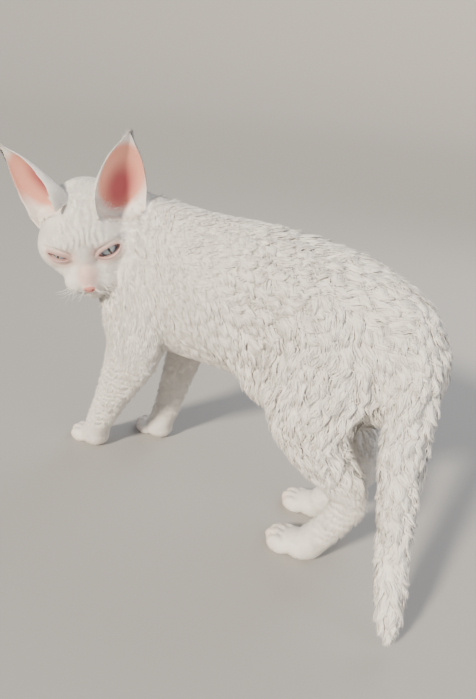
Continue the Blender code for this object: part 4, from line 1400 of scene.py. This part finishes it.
class Locks:
    """Leading strands, each with its own turn and wave, which the tufts round it follow."""

    def __init__(self, dice):
        roots, normals = spread_roots(dice, 0.25)
        kept = pick_apart(roots, LOCK_SPACING)
        self.roots = roots[kept]
        count = len(kept)
        spots = self.roots / MM
        self.turn = 0.42 * wander(spots, 0.09, 5.0) + dice.normal(0, 0.17, count)
        self.phase = 4.0 * wander(spots, 0.07, 8.0) + dice.normal(0, 0.6, count)
        self.length = dice.uniform(0.8, 1.2, count)
        self.lift = dice.uniform(0.5, 1.5, count)
        self.finder = KDTree(count)
        for i, root in enumerate(self.roots):
            self.finder.insert(root, i)
        self.finder.balance()
        rows = coat_rows(self.roots)
        bends = self.turn[:, None] + self.swing(np.arange(count), LOCK_STEPS, rows[:, 1])
        lengths = rows[:, 1] * MM * self.length
        self.spots, self.ups = walk(self.roots, normals[kept], lie_of_coat(self.roots), lengths, bends, LOCK_STEPS)

    def swing(self, owners, steps, lengths):
        """Side-to-side angles along a strand, larger where the coat is longer."""
        amount = 0.22 + 0.42 * ramp(lengths, 6, 16)
        along = np.arange(steps) / steps
        return amount[:, None] * np.cos(2 * np.pi * WAVES * along[None, :] + self.phase[owners][:, None])

    def nearest(self, roots):
        return np.array([self.finder.find(root)[1] for root in roots])


dice = np.random.default_rng(SEED)
tree = skin_tree()
locks = Locks(dice)
print("locks", len(locks.roots))

# %% [markdown]
# ## The tufts
# A tuft is a flat, tapered strand of three sides. It rises from the skin to the coat's depth, leans into its
# lock so that the tips gather, and ends in a point. The suede of the face needs only a small spike, long coat
# four rings, so that its waves bend smoothly. All tufts of a region go into one mesh, which is far quicker than
# thousands of objects. Their normals lean out from the skin, so that many thin strands shade as one soft coat.

# %% Strands to meshes
STEPS = {"long": 3, "middle": 2, "short": 1}
LONG_FROM = 10.5
MIDDLE_FROM = 6.8
PATCH = 0.003
GATHER = 0.76
DOME = 1.3
ROUNDNESS = 0.75
LOOSE = 0.28
SOFTNESS = 0.62


def strand_rings(roots, normals, steps):
    """Middles, ups, rounded ups for the shading, and widths along each strand."""
    owners = locks.nearest(roots)
    rows = coat_rows(roots)
    count = len(roots)
    lengths = rows[:, 1] * MM * locks.length[owners] * dice.uniform(0.7, 1.15, count)
    widths = rows[:, 2] * MM * dice.uniform(0.6, 1.3, count)
    longer = ramp(rows[:, 1], 6, 16)
    loose = dice.random(count) < LOOSE
    stray = np.where(loose, 0.26, 0.10)
    bends = locks.turn[owners][:, None] + locks.swing(owners, steps, rows[:, 1]) + (dice.normal(0, 1, count) * stray)[:, None]
    spots, ups = walk(roots, normals, lie_of_coat(roots), lengths, bends, steps)
    along = np.linspace(0, 1, steps + 1)
    height = (rows[:, 0] * MM * dice.uniform(0.55, 1.1, count))[:, None] * np.sin(0.5 * np.pi * along)[None, :]
    wave = 0.16 * np.sin(2 * np.pi * WAVES * along[None, :] + locks.phase[owners][:, None] * 1.7)
    height *= 1 + wave * longer[:, None]
    height += (locks.lift[owners] * (0.2 + 1.1 * longer) * MM)[:, None] * along[None, :] ** 3
    aside = np.linalg.norm(locks.roots[owners] - roots, axis=1)
    height += (DOME * MM * ramp(aside, 5 * MM, 0) * longer)[:, None] * along[None, :]
    height[:, 0] = -0.4 * MM
    middles = spots + ups * height[:, :, None]
    taken = (along * LOCK_STEPS).astype(int)
    lead = locks.spots[owners][:, taken] + locks.ups[owners][:, taken] * height[:, :, None]
    pull = (0.12 + GATHER * longer)[:, None] * ramp(along, 0.1, 1.0)[None, :]
    pull *= (ramp(aside, 9 * MM, 5 * MM) * np.where(loose, 0.2, 1.0))[:, None]
    away = np.clip((middles - lead) / LOCK_SPACING, -1, 1)
    rounded = ups + away * (0.15 + ROUNDNESS * longer)[:, None, None]
    rounded *= (0.35 + 0.65 * ramp(rows[:, 1], 3, 7))[:, None, None]
    return middles + (lead - middles) * pull[:, :, None], ups, rounded, widths


def strand_faces(rings):
    """The corners of one strand's faces, root to point, and which of the faces look down at the skin."""
    faces = [(2, 1, 0)]
    for k in range(rings - 2):
        faces += [(3 * k + a, 3 * k + b, 3 * k + 3 + b, 3 * k + 3 + a) for a, b in ((0, 1), (1, 2), (2, 0))]
    last = 3 * (rings - 2)
    faces += [(last + a, last + b, last + 3) for a, b in ((0, 1), (1, 2), (2, 0))]
    return faces, np.array([True] + [False, False, True] * (rings - 1))


def strand_points(middles, ups, rounded, widths):
    """Points and leaning normals of every strand, ring by ring with the tip last."""
    count, rings = middles.shape[:2]
    ahead = np.gradient(middles, axis=1)
    ahead /= np.linalg.norm(ahead, axis=2)[:, :, None] + 1e-12
    across = np.cross(ups, ahead)
    across /= np.linalg.norm(across, axis=2)[:, :, None] + 1e-12
    shape = np.interp(np.linspace(0, 1, rings), (0, 0.3, 0.7, 1.0), (0.8, 1.0, 0.72, 0.0))
    half = (0.5 * widths[:, None] * shape[None, :])[:, :, None]
    body = np.stack([middles + across * half, middles + ups * half * 0.7, middles - across * half], axis=2)[:, :-1]
    lean = np.stack([across, ups * 0.2, -across], axis=2) * (1 - SOFTNESS) + rounded[:, :, None] * SOFTNESS
    points = np.concatenate([body.reshape(count, -1, 3), middles[:, -1:]], axis=1)
    normals = np.concatenate([lean[:, :-1].reshape(count, -1, 3), rounded[:, -1:]], axis=1)
    return points, normals / np.linalg.norm(normals, axis=2)[:, :, None]


def strand_mesh(name, strands, patches):
    """One mesh of three-sided strands, each with its own small patch on the unwrap."""
    count, rings = strands[0].shape[:2]
    points, normals = strand_points(*strands)
    per = points.shape[1]
    faces, below = strand_faces(rings)
    flat = np.array([corner for face in faces for corner in face], np.int32)
    sizes = np.array([len(face) for face in faces], np.int32)
    order = np.arange(count, dtype=np.int32)[:, None]
    mesh = bpy.data.meshes.new(name)
    mesh.vertices.add(count * per)
    mesh.vertices.foreach_set("co", points.ravel())
    mesh.loops.add(count * len(flat))
    mesh.loops.foreach_set("vertex_index", (flat[None, :] + per * order).ravel())
    mesh.polygons.add(count * len(sizes))
    starts = np.concatenate([[0], np.cumsum(sizes)[:-1]]).astype(np.int32)
    mesh.polygons.foreach_set("loop_start", (starts[None, :] + len(flat) * order).ravel())
    mesh.update(calc_edges=True)
    row = np.arange(per)
    within = np.stack([(row % 3) / 2 - 0.5, (row // 3) / (rings - 1) - 0.5], axis=1)
    layer = mesh.uv_layers.new(name="OFBake")
    layer.data.foreach_set("uv", np.clip(patches[:, None, :] + within[flat][None] * PATCH, 0, 1).ravel())
    mesh.materials.append(COAT_LOOK)
    flat_faces = mesh.attributes.new("sharp_face", "BOOLEAN", "FACE")
    flat_faces.data.foreach_set("value", np.tile(below, count))
    corner = mesh.attributes.new("custom_normal", "FLOAT_VECTOR", "CORNER")
    corner.data.foreach_set("vector", normals[:, flat].astype(np.float32).ravel())
    return mesh


# %% The unwrap of the skin
UNWRAP_FACES = 9000


def unwrap_skin():
    """A light copy of the skin, unwrapped by its own shape: its faces, its corners' places and a finder."""
    copy = add_object("unwrap", skin.data.copy(), bpy.context.scene.collection)
    step = copy.modifiers.new("thin", "DECIMATE")
    step.ratio = UNWRAP_FACES / len(skin.data.polygons)
    settle(copy)
    bpy.context.view_layer.objects.active = copy
    copy.select_set(True)
    bpy.ops.object.mode_set(mode="EDIT")
    bpy.ops.mesh.select_all(action="SELECT")
    bpy.ops.uv.smart_project(angle_limit=math.radians(66), island_margin=0.003)
    bpy.ops.object.mode_set(mode="OBJECT")
    mesh = copy.data
    mesh.calc_loop_triangles()
    layer = mesh.uv_layers.active.data
    corners = [[mesh.vertices[i].co.copy() for i in tri.vertices] for tri in mesh.loop_triangles]
    places = [[layer[i].uv.copy() for i in tri.loops] for tri in mesh.loop_triangles]
    finder = BVHTree.FromPolygons([v.co for v in mesh.vertices], [tri.vertices for tri in mesh.loop_triangles])
    bpy.data.objects.remove(copy)
    return corners, places, finder


def on_unwrap(unwrap, roots):
    """Each root's place on the unwrap."""
    corners, places, finder = unwrap
    out = np.empty((len(roots), 2))
    for i, root in enumerate(roots):
        spot, _, face, _ = finder.find_nearest(root)
        a, b, c = corners[face]
        whole = (b - a).cross(c - a)
        size = whole.length_squared + 1e-30
        wb = (spot - a).cross(c - a).dot(whole) / size
        wc = (b - a).cross(spot - a).dot(whole) / size
        ua, ub, uc = places[face]
        out[i] = ua * (1 - wb - wc) + ub * wb + uc * wc
    return out


UNWRAP = unwrap_skin()
print("unwrap of", len(UNWRAP[0]), "triangles")

# %% The coat, region by region
REGIONS = {
    "head": (0.062, -0.105, 0.200),
    "neck": (-0.004, -0.070, 0.200),
    "breast": (0.006, -0.075, 0.150),
    "shoulders": (0.002, -0.030, 0.175),
    "flanks": (0.000, 0.035, 0.180),
    "loin": (0.000, 0.085, 0.180),
    "rump": (0.000, 0.140, 0.175),
    "tail_root": (0.014, 0.185, 0.168),
    "tail_middle": (0.040, 0.194, 0.102),
    "tail_tip": (0.062, 0.210, 0.042),
    "front_leg_left": (0.034, -0.078, 0.080),
    "front_leg_right": (-0.030, -0.060, 0.080),
    "front_paw_left": (0.029, -0.115, 0.013),
    "front_paw_right": (-0.027, -0.083, 0.013),
    "thigh_left": (0.034, 0.122, 0.110),
    "thigh_right": (-0.034, 0.108, 0.110),
    "hock_left": (0.027, 0.150, 0.050),
    "hock_right": (-0.027, 0.133, 0.050),
    "hind_paw_left": (0.026, 0.122, 0.013),
    "hind_paw_right": (-0.026, 0.101, 0.013),
}


def grow_coat():
    roots, normals = spread_roots(dice)
    middles = np.array(list(REGIONS.values()))
    region = np.linalg.norm(roots[:, None] - middles[None], axis=2).argmin(axis=1)
    head = np.linalg.norm((in_frame(roots, HEAD) - (0, -14, -4)) / (36, 46, 40), axis=1) < 1.08
    for side in EARS:
        x, y, z = in_frame(roots, ear_frame(side)).T
        head |= (z > 0) & (np.hypot(x, y) < 26)
    region[head] = 0
    region[(region == 0) & ~head] = 1
    lengths = coat_rows(roots)[:, 1]
    kinds = {
        "long": lengths >= LONG_FROM,
        "middle": (lengths < LONG_FROM) & (lengths >= MIDDLE_FROM),
        "short": lengths < MIDDLE_FROM,
    }
    patches = on_unwrap(UNWRAP, roots)
    pieces = []
    for kind, share in kinds.items():
        for index, name in enumerate(REGIONS):
            own = share & (region == index)
            if own.sum() < 1:
                continue
            strands = strand_rings(roots[own], normals[own], STEPS[kind])
            pieces.append(add_object(f"coat_{name}_{kind}", strand_mesh(f"coat_{name}_{kind}", strands, patches[own])))
    return pieces


coat = grow_coat()
sizes = {}
for obj in coat:
    obj.data.calc_loop_triangles()
    sizes[obj.name] = len(obj.data.loop_triangles)
print("coat pieces", len(coat), "triangles", sum(sizes.values()), "largest", max(sizes.values()))

# %% [markdown]
# ## Whiskers
# A devon rex has short, curled whiskers. Each is a thin tube that crinkles as it goes: four rows on each pad of
# the muzzle, and a few over each eye. They are set by where they grow on the head and which way they point.

# %% Whiskers
WHISKER_RADIUS = 0.20
PAD_ROWS = 4
PAD_COLUMNS = 4
BROW_ROOTS = ((13.0, 5, 9.0), (16.5, 4, 9.6), (20.0, 2, 9.0))


def whisker(bm, start, heading, length, curl):
    """A tube that sags and crinkles along its way."""
    place = facing_frame(start, heading)
    points = []
    count = 16
    for k in range(count):
        share = k / (count - 1)
        swing = 1.1 * MM * math.sin(share * 11 + curl) * share
        bow = length * 0.34 * share**2 * math.sin(curl)
        points.append(place @ Vector((swing, bow + 0.8 * MM * math.cos(share * 9 + curl) * share, length * share)))
    add_cord(bm, points, [WHISKER_RADIUS * MM * (1 - 0.75 * k / (count - 1)) for k in range(count)], 5)


def make_whiskers():
    bm = bmesh.new()
    turn = HEAD.to_3x3()
    for s in SIDES.values():
        for row in range(PAD_ROWS):
            for column in range(PAD_COLUMNS):
                aim = HEAD @ Vector((s * (9 + 3.0 * column), 26 - 2.4 * column, -23.5 - 2.3 * row))
                spot, normal, _, _ = tree.find_nearest(aim)
                way = turn @ Vector((s * 0.9, 0.35 - 0.22 * column, -0.18 - 0.24 * row))
                heading = way.normalized() + normal * 0.45
                whisker(bm, spot - normal * 0.5 * MM, heading, dice.uniform(7, 17) * MM, dice.uniform(0, 6.28))
        for x, y, z in BROW_ROOTS:
            spot, normal, _, _ = tree.find_nearest(HEAD @ Vector((s * x, y, z)))
            heading = turn @ Vector((s * 0.3, 0.5, 0.8)) / MM * 0.6 + normal
            whisker(bm, spot - normal * 0.5 * MM, heading, dice.uniform(8, 13) * MM, dice.uniform(0.6, 2.4))
    obj = add_object("whiskers", mesh_from(bm, "whiskers"))
    finish = Finish("whisker", Roughness=0.35, Base_Color=(0.92, 0.90, 0.86))
    obj.data.materials.append(finish.material)
    obj.data.shade_smooth()
    return obj


whiskers = make_whiskers()
print("whiskers", len(whiskers.data.polygons), "faces")

# %% [markdown]
# ## Floor and light
# The cat is lit as in a studio: a broad key light from the camera's upper left, where the sun stood, a fill
# from the other side and a soft light from behind, over a plain pale floor.

# %% Floor and lights
FLOOR_GREY = (0.41, 0.40, 0.385)


FLOOR_RINGS = ((0.01, 0), (3.5, 0), (4.5, 0.12), (5.5, 0.5), (6.5, 1.1), (7.5, 1.9), (8.5, 2.8), (9.5, 3.8))


def make_floor():
    """A round floor whose far edge sweeps up, so that no horizon cuts the picture."""
    bm = bmesh.new()
    rows = []
    for radius, height in FLOOR_RINGS:
        turns = [math.tau * k / 96 for k in range(96)]
        rows.append([bm.verts.new((radius * math.cos(a), radius * math.sin(a), height)) for a in turns])
    for low, high in zip(rows, rows[1:]):
        for k in range(96):
            bm.faces.new((low[k], high[k], high[k - 95], low[k - 95]))
    bm.faces.new(rows[0])
    floor = add_object("floor", mesh_from(bm, "floor"))
    floor.data.shade_smooth()
    floor.data.materials.append(Finish("floor", Roughness=0.85, Base_Color=FLOOR_GREY).material)


def add_light(name, kind, spot, power, size, colour):
    lamp = bpy.data.lights.new(name, kind)
    lamp.energy = power
    lamp.color = colour
    if kind == "SUN":
        lamp.angle = size
    else:
        lamp.size = size
    obj = bpy.data.objects.new(name, lamp)
    bpy.context.scene.collection.objects.link(obj)
    aim = Vector((0, 0, 0.16)) - Vector(spot)
    obj.matrix_world = Matrix.Translation(spot) @ aim.to_track_quat("-Z", "Y").to_matrix().to_4x4()


def light_room():
    world = bpy.data.worlds.new("room")
    bpy.context.scene.world = world
    world.use_nodes = True
    world.node_tree.nodes["Background"].inputs["Color"].default_value = (0.88, 0.91, 1.0, 1)
    world.node_tree.nodes["Background"].inputs["Strength"].default_value = 0.48
    add_light("key", "SUN", (1.0, 0.0, 0.70), 6.0, math.radians(7), (1.0, 0.89, 0.72))
    add_light("fill", "AREA", (0.3, 1.2, 0.8), 5.0, 1.0, (0.92, 0.95, 1.0))
    add_light("back", "AREA", (-0.9, 0.1, 0.9), 6.0, 0.8, (1.0, 1.0, 1.0))


make_floor()
light_room()
print("lights", len(bpy.data.lights))

# %% [markdown]
# ## Placing and tying to the body
# Everything was made in the animal's own frame. One shift puts the origin on the floor under the middle of
# the cat. Then each piece is tied to the body, and the skin stands for the solids of flesh that it replaces.

# %% Pieces tied to the body
BODY = list(frame["bodies"])[0]
FLESH = [name for name in frame["nodes"] if not name.startswith("eye")]
bpy.data.collections.remove(NIGHT)
pieces = [skin, *eyeballs.values(), *lid_rims.values(), *coat, whiskers]
for piece in pieces:
    piece.data.transform(Matrix.Translation(-BOX_MIDDLE))
    piece.data.update()
    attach(piece, BODY)
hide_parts(*FLESH)
for side in SIDES:
    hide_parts(f"eye_{side}")
print("pieces", len(pieces))
